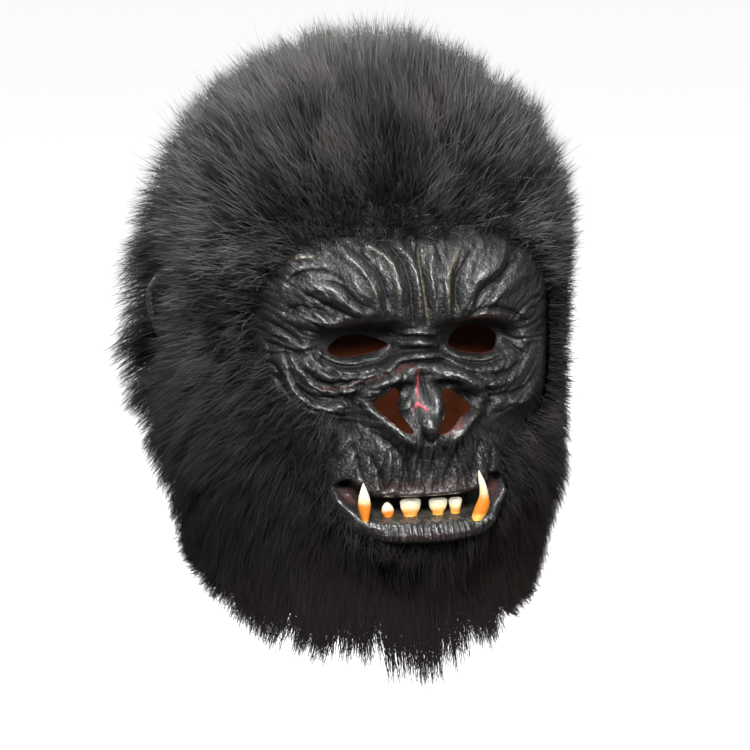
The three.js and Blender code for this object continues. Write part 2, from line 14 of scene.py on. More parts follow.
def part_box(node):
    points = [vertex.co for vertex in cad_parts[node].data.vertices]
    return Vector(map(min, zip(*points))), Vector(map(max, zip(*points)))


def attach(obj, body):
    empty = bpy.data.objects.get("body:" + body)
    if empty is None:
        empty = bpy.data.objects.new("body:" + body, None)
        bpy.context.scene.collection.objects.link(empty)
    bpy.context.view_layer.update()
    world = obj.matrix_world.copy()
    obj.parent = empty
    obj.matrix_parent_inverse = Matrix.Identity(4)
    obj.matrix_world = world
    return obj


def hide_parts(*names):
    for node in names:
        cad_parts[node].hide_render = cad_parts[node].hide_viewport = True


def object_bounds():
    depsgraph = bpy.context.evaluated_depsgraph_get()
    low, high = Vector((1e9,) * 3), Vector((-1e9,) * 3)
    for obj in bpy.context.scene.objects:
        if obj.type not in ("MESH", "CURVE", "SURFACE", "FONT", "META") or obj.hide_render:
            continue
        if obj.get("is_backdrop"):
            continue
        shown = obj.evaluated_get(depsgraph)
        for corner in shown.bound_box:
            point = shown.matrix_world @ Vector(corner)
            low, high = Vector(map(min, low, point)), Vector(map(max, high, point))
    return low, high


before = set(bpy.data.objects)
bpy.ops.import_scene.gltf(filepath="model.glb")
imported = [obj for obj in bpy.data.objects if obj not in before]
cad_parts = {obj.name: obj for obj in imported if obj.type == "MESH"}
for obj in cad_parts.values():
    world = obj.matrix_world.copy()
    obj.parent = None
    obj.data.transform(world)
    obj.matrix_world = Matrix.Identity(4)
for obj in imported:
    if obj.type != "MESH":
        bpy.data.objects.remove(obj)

LOG = logging.getLogger("gorilla_mask")
CAD_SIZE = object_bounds()

Array = np.ndarray
Pair = tuple[float, float]
Colour = tuple[float, float, float]


# --- small tools for numbers and arrays


def ease(value: Array | float, low: float, high: float) -> Array:
    """A smooth step from 0 at low to 1 at high."""
    share = np.clip((np.asarray(value, float) - low) / (high - low), 0.0, 1.0)
    return share * share * (3.0 - 2.0 * share)


def bell(value: Array | float, hard: float = 1.0) -> Array:
    """A bell that is 1 at 0, flatter on top the harder it is."""
    return np.exp(-np.power(np.square(value), hard))


def unit(vectors: Array) -> Array:
    """The vectors at a length of one."""
    return vectors / np.maximum(np.linalg.norm(vectors, axis=-1, keepdims=True), 1e-12)


def flat_to(vectors: Array, normals: Array) -> Array:
    """The part of the vectors that lies flat on surfaces with these normals."""
    return vectors - normals * np.sum(vectors * normals, axis=-1, keepdims=True)


def curve_through(points: Sequence[Pair], steps: int = 6, closed: bool = False) -> Array:
    """A smooth line through given points.

    Args:
        points: the points that it passes through.
        steps: how many short pieces lie between two of them.
        closed: whether it returns to its start.

    Returns:
        The line's points, one row each.
    """
    held = np.asarray(points, float)
    if closed:
        padded = np.vstack([held[-1:], held, held[:2]])
    else:
        padded = np.vstack([2 * held[:1] - held[1:2], held, 2 * held[-1:] - held[-2:-1]])
    share = (np.arange(steps) / steps)[:, None]
    pieces = []
    for a, b, c, d in zip(padded, padded[1:], padded[2:], padded[3:]):
        pieces.append(
            0.5 * (2 * b + (c - a) * share + (2 * a - 5 * b + 4 * c - d) * share**2
                   + (3 * b - a - 3 * c + d) * share**3)
        )
    made = np.vstack(pieces)
    return made if closed else np.vstack([made, held[-1:]])


class Noise:
    """Gradient noise in three dimensions, the same on every run."""

    def __init__(self, seed: int) -> None:
        """Draws the noise's own table of directions."""
        chance = np.random.default_rng(seed)
        self.order = np.tile(chance.permutation(256), 2)
        self.ways = unit(chance.normal(size=(256, 3)))

    def at(self, points: Array) -> Array:
        """The noise at points, from about -1 to 1."""
        cell = np.floor(points).astype(int)
        part = points - cell
        fade = part**3 * (part * (part * 6 - 15) + 10)
        total = np.zeros(len(points))
        for dx in (0, 1):
            for dy in (0, 1):
                for dz in (0, 1):
                    corner = cell + (dx, dy, dz)
                    key = self.order[corner[:, 0] & 255]
                    key = self.order[key + (corner[:, 1] & 255)]
                    key = self.order[key + (corner[:, 2] & 255)]
                    near = np.sum(self.ways[key] * (part - (dx, dy, dz)), axis=1)
                    share = np.abs(1 - np.array([dx, dy, dz]) - fade).prod(axis=1)
                    total += near * share
        return 1.7 * total

    def flat(self, across: Array, down: Array, layer: float = 0.0) -> Array:
        """The noise over two coordinates."""
        return self.at(np.column_stack([across, down, np.full(len(across), layer)]))


# --- meshes


class MeshSheet:
    """Gathers points, faces and values of a piece and makes one mesh of them."""

    def __init__(self) -> None:
        """Starts empty."""
        self.points: list[Array] = []
        self.faces: list[tuple[Array, int]] = []
        self.values: list[dict[str, Array]] = []
        self.count = 0

    def add(self, points: Array, faces: Iterable[Array], finish: int = 0, **values: Array) -> None:
        """Adds one part.

        Args:
            points: its points, one row each.
            faces: arrays of its faces, each array with faces of one number of corners.
            finish: which of the piece's materials it has.
            **values: a value per point under each name.
        """
        self.points.append(np.asarray(points, float))
        for block in faces:
            if len(block):
                self.faces.append((np.asarray(block, int) + self.count, finish))
        self.values.append(values)
        self.count += len(points)

    def build(self, name: str, finishes: Sequence[bpy.types.Material]) -> bpy.types.Object:
        """Makes the mesh object.

        Args:
            name: the object's name.
            finishes: its materials.

        Returns:
            The object, linked to the scene.
        """
        mesh = bpy.data.meshes.new(name)
        mesh.vertices.add(self.count)
        mesh.vertices.foreach_set("co", np.vstack(self.points).astype(np.float32).ravel())
        sizes = np.concatenate([np.full(len(block), block.shape[1]) for block, _ in self.faces])
        corners = np.concatenate([block.ravel() for block, _ in self.faces])
        mesh.loops.add(len(corners))
        mesh.loops.foreach_set("vertex_index", corners.astype(np.int32))
        mesh.polygons.add(len(sizes))
        starts = np.concatenate([[0], np.cumsum(sizes)[:-1]])
        mesh.polygons.foreach_set("loop_start", starts.astype(np.int32))
        picks = np.concatenate([np.full(len(block), pick) for block, pick in self.faces])
        mesh.polygons.foreach_set("material_index", picks.astype(np.int32))
        mesh.polygons.foreach_set("use_smooth", np.ones(len(sizes), bool))
        mesh.update(calc_edges=True)
        for key in sorted({key for part in self.values for key in part}):
            held = [part.get(key, np.zeros(len(points))) for part, points in zip(self.values, self.points)]
            layer = mesh.attributes.new(key, "FLOAT", "POINT")
            layer.data.foreach_set("value", np.concatenate(held).astype(np.float32))
        for finish in finishes:
            mesh.materials.append(finish)
        made = bpy.data.objects.new(name, mesh)
        bpy.context.scene.collection.objects.link(made)
        return made


def grid_faces(rows: int, columns: int, closed: bool, keep: Array | None = None) -> Array:
    """The four-cornered faces of a grid of points.

    Args:
        rows: how many rows of points it has.
        columns: how many points a row has.
        closed: whether the last point of a row joins its first.
        keep: which faces to keep, row by row.

    Returns:
        The faces.
    """
    across = np.arange(columns if closed else columns - 1)
    left, right = across, (across + 1) % columns
    down = np.arange(rows - 1)[:, None] * columns
    made = np.stack([down + left, down + columns + left, down + columns + right, down + right], axis=-1)
    made = made.reshape(-1, 4)
    return made if keep is None else made[keep.ravel()]


# --- finishes


class Wire:
    """A shader socket that takes part in arithmetic."""

    def __init__(self, nodes: "NodeBench", socket: bpy.types.NodeSocket) -> None:
        """Wraps a socket of a bench's nodes."""
        self.nodes = nodes
        self.socket = socket

    def _math(self, operation: str, *operands: "Wire | float") -> "Wire":
        """One Math node on these operands."""
        made = self.nodes.node("ShaderNodeMath", {"operation": operation}, dict(enumerate(operands)))
        return Wire(self.nodes, made.outputs[0])

    def __add__(self, other: "Wire | float") -> "Wire":
        """Sum."""
        return self._math("ADD", self, other)

    def __radd__(self, other: float) -> "Wire":
        """Sum, from the right."""
        return self._math("ADD", other, self)

    def __sub__(self, other: "Wire | float") -> "Wire":
        """Difference."""
        return self._math("SUBTRACT", self, other)

    def __rsub__(self, other: float) -> "Wire":
        """Difference, from the right."""
        return self._math("SUBTRACT", other, self)

    def __mul__(self, other: "Wire | float") -> "Wire":
        """Product."""
        return self._math("MULTIPLY", self, other)

    def __rmul__(self, other: float) -> "Wire":
        """Product, from the right."""
        return self._math("MULTIPLY", other, self)

    def clear(self, low: float, high: float) -> "Wire":
        """A smooth step from 0 at low to 1 at high."""
        made = self.nodes.node(
            "ShaderNodeMapRange", {"interpolation_type": "SMOOTHSTEP"},
            {"Value": self, "From Min": low, "From Max": high},
        )
        return Wire(self.nodes, made.outputs[0])


class NodeBench:
    """The nodes of one material."""

    def __init__(self, name: str) -> None:
        """Starts a material with a Principled shader."""
        self.material = bpy.data.materials.new(name)
        self.material.use_nodes = True
        self.tree = self.material.node_tree
        self.shader = self.tree.nodes["Principled BSDF"]

    def node(self, kind: str, settings: dict[str, object] | None = None,
             inputs: dict[str | int, object] | None = None) -> bpy.types.Node:
        """Adds a node.

        Args:
            kind: the node's type.
            settings: its own settings, set before its sockets.
            inputs: a value or a wire for each socket, by name or number.

        Returns:
            The node.
        """
        made = self.tree.nodes.new(kind)
        for key, value in (settings or {}).items():
            setattr(made, key, value)
        for key, value in (inputs or {}).items():
            self.feed(made.inputs[key], value)
        return made

    def feed(self, socket: bpy.types.NodeSocket, value: object) -> None:
        """Links a wire to a socket, or sets its value."""
        if isinstance(value, Wire):
            self.tree.links.new(value.socket, socket)
        elif isinstance(value, tuple) and socket.type == "RGBA":
            socket.default_value = (*value, 1.0)
        else:
            socket.default_value = value

    def out(self, kind: str, output: str | int, settings: dict[str, object] | None = None,
            inputs: dict[str | int, object] | None = None) -> Wire:
        """Adds a node and gives one of its outputs."""
        return Wire(self, self.node(kind, settings, inputs).outputs[output])

    def place(self, scale: tuple[float, float, float] = (1.0, 1.0, 1.0)) -> Wire:
        """The place on the piece in metres, stretched by a scale."""
        here = self.out("ShaderNodeTexCoord", "Object")
        return self.out("ShaderNodeMapping", 0, None, {"Vector": here, "Scale": Vector(scale)})

    def noise(self, size: float, detail: float = 3.0, rough: float = 0.55,
              stretch: tuple[float, float, float] = (1.0, 1.0, 1.0)) -> Wire:
        """Soft noise with spots of about a size in metres."""
        return self.out(
            "ShaderNodeTexNoise", 0, None,
            {"Vector": self.place(stretch), "Scale": 1.0 / size, "Detail": detail, "Roughness": rough},
        )

    def value(self, name: str) -> Wire:
        """A value that the mesh holds."""
        return self.out("ShaderNodeAttribute", "Fac", {"attribute_name": name})

    def mix(self, share: Wire | float, first: Wire | Colour, second: Wire | Colour) -> Wire:
        """Two colours mixed."""
        return self.out("ShaderNodeMix", 2, {"data_type": "RGBA"}, {0: share, 6: first, 7: second})

    def bump(self, height: Wire, reach: float, strength: float = 1.0) -> Wire:
        """A relief of a height in metres."""
        return self.out(
            "ShaderNodeBump", 0, None, {"Height": height, "Distance": reach, "Strength": strength}
        )

    def finish(self, **sockets: object) -> bpy.types.Material:
        """Feeds the shader's sockets, whose names have _ for a space, and gives the material."""
        for key, value in sockets.items():
            self.feed(self.shader.inputs[key.replace("_", " ")], value)
        return self.material


@dataclass(frozen=True)
class LatexFinish:
    """Painted black latex: dry-brushed grey on what stands out that is also a painted highlight, red brown in
    the folds, painted shade in the hollows and deepest places, and painted tan highlights on some ridges.
    """

    skin: Colour = (0.0135, 0.0135, 0.0133)
    # deep is the near-black of painted shade, laid into hollows and painted shadows.
    deep: Colour = (0.0010, 0.0009, 0.0009)
    brushed_and_highlight: Colour = (0.1, 0.1, 0.096)
    under: Colour = (0.05, 0.011, 0.0095)
    pink: Colour = (0.33, 0.034, 0.055)
    # The tan of the painted highlights on ridge crests.
    tan_highlight_colour: Colour = (0.19, 0.15, 0.095)
    pore: float = 0.0009
    wrinkle: float = 0.0022

    def make(self) -> bpy.types.Material:
        """The material."""
        bench = NodeBench("painted_latex")
        raised, hollow, tint = (bench.value(key) for key in ("raised", "hollow", "tint"))
        shade, rub = bench.value("shade"), bench.value("rub")
        cloud = bench.noise(0.016, 4.0)
        fine = bench.noise(0.0022, 4.0, 0.65)
        # Dry-brushed grey paint on what stands out, laid on strongly enough to also act as a painted
        # highlight there.
        brushed_and_highlight_share = raised * (0.25 + cloud) * fine.clear(0.4, 0.66)
        # Painted shade: creases and hollows are darkened towards near-black.
        colour = bench.mix(hollow.clear(0.03, 0.4), self.skin, self.deep)
        colour = bench.mix(brushed_and_highlight_share.clear(0.15, 1.0), colour, self.brushed_and_highlight)
        # Painted shadow: the sockets, mouth slot and hairline are laid in near-black.
        colour = bench.mix(shade, colour, self.deep)
        patchy = bench.noise(0.004, 3.0).clear(0.25, 0.55)
        colour = bench.mix(tint.clear(0.0, 0.7) * patchy, colour, self.under)
        colour = bench.mix(tint.clear(0.8, 1.0), colour, self.pink)
        # Painted highlight: tan along some ridge crests.
        colour = bench.mix(rub * fine.clear(0.3, 0.6), colour, self.tan_highlight_colour)
        rough = 0.42 - 0.12 * raised + 0.25 * (bench.noise(0.003, 3.0) - 0.5) + 0.3 * hollow + 0.4 * shade
        cell = bench.out(
            "ShaderNodeTexVoronoi", "Distance", {"feature": "DISTANCE_TO_EDGE"},
            {"Vector": bench.place(), "Scale": 1.0 / self.wrinkle},
        )
        height = bench.noise(self.pore, 3.0, 0.6) * 0.3 + cell.clear(0.0, 0.16) * 0.3 + fine * 0.25
        return bench.finish(
            Base_Color=colour, Roughness=rough, Normal=bench.bump(height, 0.0007, 0.8),
            Coat_Weight=0.6 * raised, Coat_Roughness=0.2, Specular_IOR_Level=0.45,
        )


@dataclass(frozen=True)
class LiningFinish:
    """The inside of the casting: raw red-brown latex with a painted glow that makes it look lit, and a
    painted shadow of the brows higher up.
    """

    light: Colour = (0.15, 0.04, 0.017)
    dark: Colour = (0.09, 0.024, 0.01)
    # The near-black of the painted shadow of the brows, seen through the eye holes.
    brow_shadow: Colour = (0.006, 0.002, 0.0015)
    # The strength of a painted glow of the inside, which is no lamp.
    glow: float = 0.4

    def make(self) -> bpy.types.Material:
        """The material."""
        bench = NodeBench("raw_latex")
        cloud = bench.noise(0.02, 4.0)
        across, height = (
            bench.out("ShaderNodeSeparateXYZ", axis, None, {"Vector": bench.place()}) for axis in "XZ"
        )
        # Painted shadow: darker higher up, so the upper part of the eye holes looks shaded by the brows.
        brow_shadow = (height - 0.09 * across + 0.006 * (cloud - 0.5)).clear(-0.161, -0.15)
        colour = bench.mix(brow_shadow, bench.mix(cloud.clear(0.3, 0.7), self.dark, self.light), self.brow_shadow)
        return bench.finish(
            # The emission is a painted glow that makes the inside look lit.
            Base_Color=colour, Emission_Color=colour, Emission_Strength=self.glow,
            Roughness=0.55 + 0.2 * bench.noise(0.004),
            Normal=bench.bump(bench.noise(0.003, 4.0), 0.0008, 0.6),
        )


@dataclass(frozen=True)
class EnamelFinish:
    """Painted teeth: cream tips, yellow sides and orange stain at the foot."""

    cream: Colour = (0.6, 0.56, 0.42)
    yellow: Colour = (0.62, 0.36, 0.07)
    orange: Colour = (0.52, 0.15, 0.01)

    def make(self) -> bpy.types.Material:
        """The material."""
        bench = NodeBench("painted_teeth")
        up, stain = bench.value("up"), bench.value("stain")
        blotch = bench.noise(0.003, 4.0, 0.6)
        level = up + 0.5 * (blotch - 0.5)
        colour = bench.mix(level.clear(0.25, 0.8), self.yellow, self.cream)
        colour = bench.mix((stain + 0.7 * (blotch - 0.5)).clear(0.3, 0.9), colour, self.orange)
        streak = bench.noise(0.0012, 3.0, 0.6, (1.0, 1.0, 0.25))
        return bench.finish(
            Base_Color=colour, Roughness=0.26 + 0.22 * blotch, Coat_Weight=0.3 * blotch,
            Normal=bench.bump(streak, 0.0004, 0.5), Subsurface_Weight=0.05, Subsurface_Scale=0.002,
        )


@dataclass(frozen=True)
class FurFinish:
    """Black fur strands with painted light: lighter higher up on the head, painted shade towards the roots,
    and a faint warm tint in some tufts and lower down.
    """

    # root is the painted shade near the roots, between the strands.
    root: Colour = (0.001, 0.0009, 0.001)
    strand: Colour = (0.0022, 0.0018, 0.0018)
    # sunlit is a painted lit colour for strands higher on the head.
    sunlit: Colour = (0.088, 0.084, 0.08)
    warm: Colour = (0.012, 0.0036, 0.0034)

    def make(self) -> bpy.types.Material:
        """The material."""
        bench = NodeBench("black_fur")
        tone, along = bench.value("tone"), bench.value("along")
        height = bench.out("ShaderNodeSeparateXYZ", "Z", None, {"Vector": bench.place()})
        # Painted light: strands are lighter higher up on the head, by an amount that varies at random from
        # tuft to tuft.
        lit = (height + 0.14 * (tone - 0.4)).clear(-0.15, 0.01) * (0.12 + 1.7 * tone * tone)
        colour = bench.mix(lit, self.strand, self.sunlit)
        # Painted shade: strands darken towards their roots.
        colour = bench.mix(along.clear(0.35, 0.9), self.root, colour)
        low = 0.35 * (-1.0 * height).clear(0.17, 0.26)
        colour = bench.mix((tone.clear(0.5, 1.3) + low) * along, colour, self.warm)
        return bench.finish(
            Base_Color=colour, Roughness=0.84 - 0.42 * height.clear(-0.26, -0.06) + 0.2 * tone,
            Specular_IOR_Level=0.36,
            Normal=bench.bump(bench.noise(0.0005, 2.0), 0.0001, 0.4),
        )


@dataclass(frozen=True)
class BackingFinish:
    """The dark knitted backing under the strands."""

    dark: Colour = (0.002, 0.0018, 0.002)
    light: Colour = (0.006, 0.005, 0.0055)

    def make(self) -> bpy.types.Material:
        """The material."""
        bench = NodeBench("fur_backing")
        grain = bench.noise(0.0014, 3.0, 0.6, (1.0, 1.0, 0.2))
        return bench.finish(
            Base_Color=bench.mix(grain, self.dark, self.light), Roughness=0.8 + 0.15 * grain,
            Specular_IOR_Level=0.2, Normal=bench.bump(grain, 0.001, 0.8),
        )


@dataclass(frozen=True)
class FloorFinish:
    """A plain pale floor."""

    pale: Colour = (0.8, 0.8, 0.8)
    glow: float = 0.86

    def make(self) -> bpy.types.Material:
        """The material."""
        bench = NodeBench("pale_floor")
        grain = bench.noise(0.05, 2.0)
        return bench.finish(
            Base_Color=bench.mix(grain * 0.02, self.pale, (0.75, 0.75, 0.75)), Roughness=0.9,
            Emission_Color=(1.0, 1.0, 1.0), Emission_Strength=self.glow,
        )


class Slot(Enum):
    """The kinds of material that pieces are settled with."""

    LATEX = "latex"
    TOOTH = "tooth"
    FUR = "fur"


# --- the head's form


@dataclass(frozen=True)
class HeadForm:
    """The plain head under the face and the fur, as in the CAD part.

    Angles go round from the front; down is the share of the way from the crown to the rim.
    """

    wall: float = 0.002
    half: float = 0.090
    front: float = 0.104
    back: float = 0.112
    widest_drop: float = 0.105
    tall: float = 0.246
    chin_dip: float = 0.014
    front_hard: float = 2.6
    back_hard: float = 2.2
    dome_side: float = 2.3
    dome_front: float = 1.95
    dome_back: float = 2.1

    NECK_DROP = (0.0, 0.3, 0.55, 0.8, 1.0)
    NECK_SIDE = (1.0, 0.99, 0.95, 0.88, 0.85)
    NECK_FRONT = (1.0, 0.98, 0.93, 0.86, 0.82)
    NECK_BACK = (1.0, 0.97, 0.9, 0.83, 0.8)

    def section(self, down: Array) -> tuple[Array, Array, Array]:
        """Shares of the half width, front and back at a share of the way down."""
        widest = self.widest_drop / self.tall
        up = np.clip(1 - down / widest, 0.0, 1.0)
        drop = np.clip((down - widest) / (1 - widest), 0.0, 1.0)
        shares = []
        for hard, neck in ((self.dome_side, self.NECK_SIDE), (self.dome_front, self.NECK_FRONT),
                           (self.dome_back, self.NECK_BACK)):
            dome = np.power(1 - np.power(up, hard), 1 / hard)
            shares.append(np.where(down < widest, dome, np.interp(drop, self.NECK_DROP, neck)))
        return shares[0], shares[1], shares[2]

    def point(self, angle: Array, down: Array) -> Array:
        """Points of the plain head."""
        side, front, back = self.section(down)
        ahead = np.cos(angle) > 0
        hard = np.where(ahead, self.front_hard, self.back_hard)
        deep = np.maximum(np.where(ahead, front * self.front, back * self.back), 1e-6)
        wide = np.maximum(side * self.half, 1e-6)
        radius = np.power(
            np.power(np.abs(np.sin(angle) / wide), hard) + np.power(np.abs(np.cos(angle) / deep), hard),
            -1 / hard,
        )
        dip = self.chin_dip * ease(down, 0.55, 1.0) * ease(np.cos(angle), 0.0, 1.0)
        return np.stack(
            [radius * np.sin(angle), -radius * np.cos(angle), self.wall - down * self.tall - dip], axis=-1
        )

    def normal(self, angle: Array, down: Array) -> Array:
        """The way out of the plain head."""
        low = np.maximum(down, 0.004)
        round_it = self.point(angle + 0.01, low) - self.point(angle - 0.01, low)
        down_it = self.point(angle, np.minimum(1.0, low + 0.003)) - self.point(angle, low - 0.003)
        return unit(np.cross(down_it, round_it))

    def front_y(self, across: Array, height: Array) -> Array:
        """How far forward the plain head lies at a place seen from the front."""
        down = (self.wall - height) / self.tall
        for _ in range(2):
            down = (self.wall - height - self.chin_dip * ease(down, 0.55, 1.0)) / self.tall
        side, front, _ = self.section(np.clip(down, 0.0, 1.0))
        share = np.clip(np.abs(across) / np.maximum(side * self.half, 1e-6), 0.0, 0.999)
        return -front * self.front * np.power(1 - share**self.front_hard, 1 / self.front_hard)


@dataclass(frozen=True)
class FaceFrame:
    """The face's own measure: p across from its middle, q down from its top, both as shares."""

    half: float = 0.076
    top: float = 0.064
    tall: float = 0.152

    def shares(self, across: Array, height: Array) -> tuple[Array, Array]:
        """The shares of a place."""
        return across / self.half, (-height - self.top) / self.tall

    def place(self, p: Array | float, q: Array | float) -> tuple[Array, Array]:
        """The place of shares."""
        return np.asarray(p) * self.half, -self.top - np.asarray(q) * self.tall

    def outline(self, points: Sequence[Pair], steps: int = 6) -> Array:
        """A closed smooth outline of shares, in metres."""
        line = curve_through(points, steps, closed=True)
        return np.column_stack(self.place(line[:, 0], line[:, 1]))


# Openings through the face, as shares of the face.
OPENINGS = (
    ((-0.19, 0.354), (-0.24, 0.338), (-0.36, 0.325), (-0.5, 0.337), (-0.58, 0.364),
     (-0.55, 0.381), (-0.46, 0.39), (-0.3, 0.381)),
    ((0.22, 0.358), (0.29, 0.325), (0.41, 0.307), (0.53, 0.318), (0.57, 0.348),
     (0.54, 0.383), (0.44, 0.396), (0.3, 0.385)),
    ((-0.33, 0.532), (-0.25, 0.503), (-0.17, 0.485), (-0.165, 0.52), (-0.18, 0.55), (-0.125, 0.61),
     (-0.2, 0.603), (-0.27, 0.568)),
    ((0.1, 0.505), (0.16, 0.49), (0.23, 0.508), (0.31, 0.55), (0.21, 0.58), (0.09, 0.618),
     (0.04, 0.615), (0.08, 0.58), (0.13, 0.545)),
)
# The edge of the fur round the face, clockwise from the top as seen from the front.
FUR_EDGE = (
    (0.0, 0.02), (0.25, 0.0), (0.48, 0.0), (0.73, 0.05), (0.88, 0.14), (0.98, 0.28),
    (1.02, 0.45), (0.98, 0.56), (0.86, 0.62), (0.66, 0.66), (0.57, 0.72), (0.56, 0.81),
    (0.56, 0.89), (0.47, 0.955), (0.2, 0.982), (0.0, 0.985), (-0.22, 0.98), (-0.42, 0.95),
    (-0.56, 0.885), (-0.6, 0.8), (-0.6, 0.7), (-0.55, 0.62), (-0.56, 0.575), (-0.72, 0.55),
    (-0.88, 0.47), (-0.97, 0.36), (-0.99, 0.28), (-0.95, 0.17), (-0.82, 0.08), (-0.6, 0.03),
    (-0.3, 0.01),
)


def to_outline(points: Array, outline: Array) -> tuple[Array, Array, Array]:
    """Measures places against a closed outline.

    Args:
        points: places, across and height in each row.
        outline: the outline's corners.

    Returns:
        The distance of each place, the nearest place on the outline, and whether it lies inside.
    """
    least = np.full(len(points), np.inf)
    nearest = np.zeros_like(points)
    inside = np.zeros(len(points), bool)
    for a, b in zip(outline, np.roll(outline, -1, axis=0)):
        way = b - a
        along = np.clip((points - a) @ way / max(way @ way, 1e-18), 0.0, 1.0)
        foot = a + along[:, None] * way
        gap = np.linalg.norm(points - foot, axis=1)
        closer = gap < least
        least = np.where(closer, gap, least)
        nearest[closer] = foot[closer]
        if abs(way[1]) > 1e-15:
            spans = (a[1] > points[:, 1]) != (b[1] > points[:, 1])
            inside ^= spans & (points[:, 0] < a[0] + (points[:, 1] - a[1]) / way[1] * way[0])
    return least, nearest, inside


# --- the relief of the face


@dataclass(frozen=True)
class Swelling:
    """A swelling or a hollow: its reach, its middle and half sizes in shares, and how flat it is."""

    reach: float
    p: float
    q: float
    rp: float
    rq: float
    hard: float = 1.0
    mirrored: bool = True

    def height(self, p: Array, q: Array) -> Array:
        """How far it stands out."""
        sides = (self.p, -self.p) if self.mirrored and self.p else (self.p,)
        return sum(
            self.reach * bell(np.hypot((p - side) / self.rp, (q - self.q) / self.rq), self.hard)
            for side in sides
        )


class Kind(Enum):
    """How a line of the face is shaped across."""

    FOLD = "rounded"
    CREASE = "sharp"
    TINT = "paint"


@dataclass(frozen=True)
class Line:
    """A fold, crease or painted line: its reach and half width in metres, and its points in shares."""

    kind: Kind
    reach: float
    half: float
    points: tuple[Pair, ...]
    hard: float = 1.0
    mirrored: bool = False
    tapered: bool = True

    def along(self, p: Array, q: Array, face: FaceFrame) -> Array:
        """The line's height, or its share of paint, over the face."""
        if self.mirrored:
            p = np.abs(p)
        line = curve_through(self.points, 5) if len(self.points) > 2 else np.asarray(self.points)
        spot = np.column_stack([p * face.half, q * face.tall])
        line = line * (face.half, face.tall)
        room = 3.2 * self.half
        low, high = line.min(axis=0) - room, line.max(axis=0) + room
        near = np.flatnonzero(np.all((spot > low) & (spot < high), axis=1))
        made = np.zeros(len(p))
        if not len(near):
            return made
        lengths = np.linalg.norm(np.diff(line, axis=0), axis=1)
        begun = np.concatenate([[0.0], np.cumsum(lengths)])
        least = np.full(len(near), np.inf)
        share = np.zeros(len(near))
        for a, b, start, long in zip(line, line[1:], begun, lengths):
            way = b - a
            part = np.clip((spot[near] - a) @ way / max(way @ way, 1e-18), 0.0, 1.0)
            gap = np.linalg.norm(spot[near] - a - part[:, None] * way, axis=1)
            closer = gap < least
            least = np.where(closer, gap, least)
            share = np.where(closer, (start + part * long) / begun[-1], share)
        across = least / self.half
        form = np.exp(-1.6 * across) if self.kind is Kind.CREASE else bell(across, self.hard)
        if self.tapered:
            form = form * np.power(np.clip(np.sin(np.pi * share), 0.0, 1.0), 0.5)
        made[near] = self.reach * form
        return made


# The large forms, as in the CAD part. The nose's bulb and nostrils and the lips are finer here.
FORMS = (
    Swelling(0.007, 0.46, 0.19, 0.3, 0.13),
    Swelling(0.0042, 0.0, 0.22, 0.16, 0.17),
    Swelling(0.0049, 0.82, 0.22, 0.2, 0.17),
    Swelling(-0.015, 0.4, 0.345, 0.27, 0.075, 1.4),
    Swelling(0.006, 0.66, 0.46, 0.3, 0.13, 1.2),
    Swelling(0.0085, 0.0, 0.53, 0.42, 0.14, 2.0),
    Swelling(0.0045, -0.01, 0.565, 0.1, 0.055, 1.3, False),
    Swelling(-0.0075, 0.22, 0.535, 0.12, 0.05, 1.4),
    Swelling(0.021, 0.0, 0.8, 0.6, 0.25, 2.4),
)
FORM_LINES = (
    Line(Kind.FOLD, 0.0025, 0.004, ((0.1, 0.03), (0.14, 0.2), (0.11, 0.36)), mirrored=True),
    Line(Kind.FOLD, 0.0025, 0.005, ((0.36, 0.02), (0.27, 0.15), (0.24, 0.3)), mirrored=True),
    Line(Kind.FOLD, 0.004, 0.005, ((0.2, 0.26), (0.42, 0.25), (0.66, 0.3), (0.78, 0.37)), mirrored=True),
    Line(Kind.FOLD, 0.004, 0.005, ((0.16, 0.4), (0.4, 0.44), (0.62, 0.4)), mirrored=True),
    Line(Kind.FOLD, 0.004, 0.008, ((0.0, 0.3), (0.0, 0.44))),
    Line(Kind.FOLD, 0.004, 0.006, ((0.9, 0.36), (0.84, 0.5), (0.64, 0.57), (0.5, 0.55)), mirrored=True),
    Line(Kind.FOLD, 0.0055, 0.0056, ((0.05, 0.44), (0.2, 0.445), (0.34, 0.48), (0.42, 0.54)), 1.2, True),
    Line(Kind.FOLD, 0.005, 0.0042, ((0.42, 0.55), (0.3, 0.568), (0.2, 0.61), (0.08, 0.665)), mirrored=True),
    Line(
        Kind.FOLD, -0.012, 0.0052,
        ((0.0, 0.87), (0.34, 0.866), (0.43, 0.845), (0.49, 0.815)), 2.0, True, False,
    ),
    Line(
        Kind.FOLD, 0.009, 0.0072,
        ((0.0, 0.936), (0.34, 0.932), (0.45, 0.9), (0.52, 0.855)), 3.0, True, False,
    ),
    Line(Kind.FOLD, 0.005, 0.0062, ((0.0, 0.968), (0.3, 0.964), (0.43, 0.935)), 1.6, True, False),
)
# Smaller forms of the sockets and the nose; left and right differ.
SMALL_FORMS = (
    Swelling(-0.006, 0.42, 0.307, 0.28, 0.034, 1.5),
    Swelling(0.0035, -0.42, 0.15, 0.14, 0.09, 1.2, False),
    Swelling(0.003, 0.46, 0.09, 0.16, 0.09, 1.2, False),
    Swelling(0.005, -0.135, 0.533, 0.045, 0.028, 1.2, False),
    Swelling(0.006, 0.062, 0.525, 0.05, 0.034, 1.3, False),
    Swelling(0.0055, -0.04, 0.585, 0.058, 0.032, 1.3, False),
    Swelling(-0.0065, -0.2, 0.478, 0.1, 0.017, 1.2, False),
    Swelling(-0.005, 0.13, 0.472, 0.075, 0.015, 1.2, False),
    Swelling(-0.0045, -0.5, 0.6, 0.06, 0.03, 1.0, False),
)
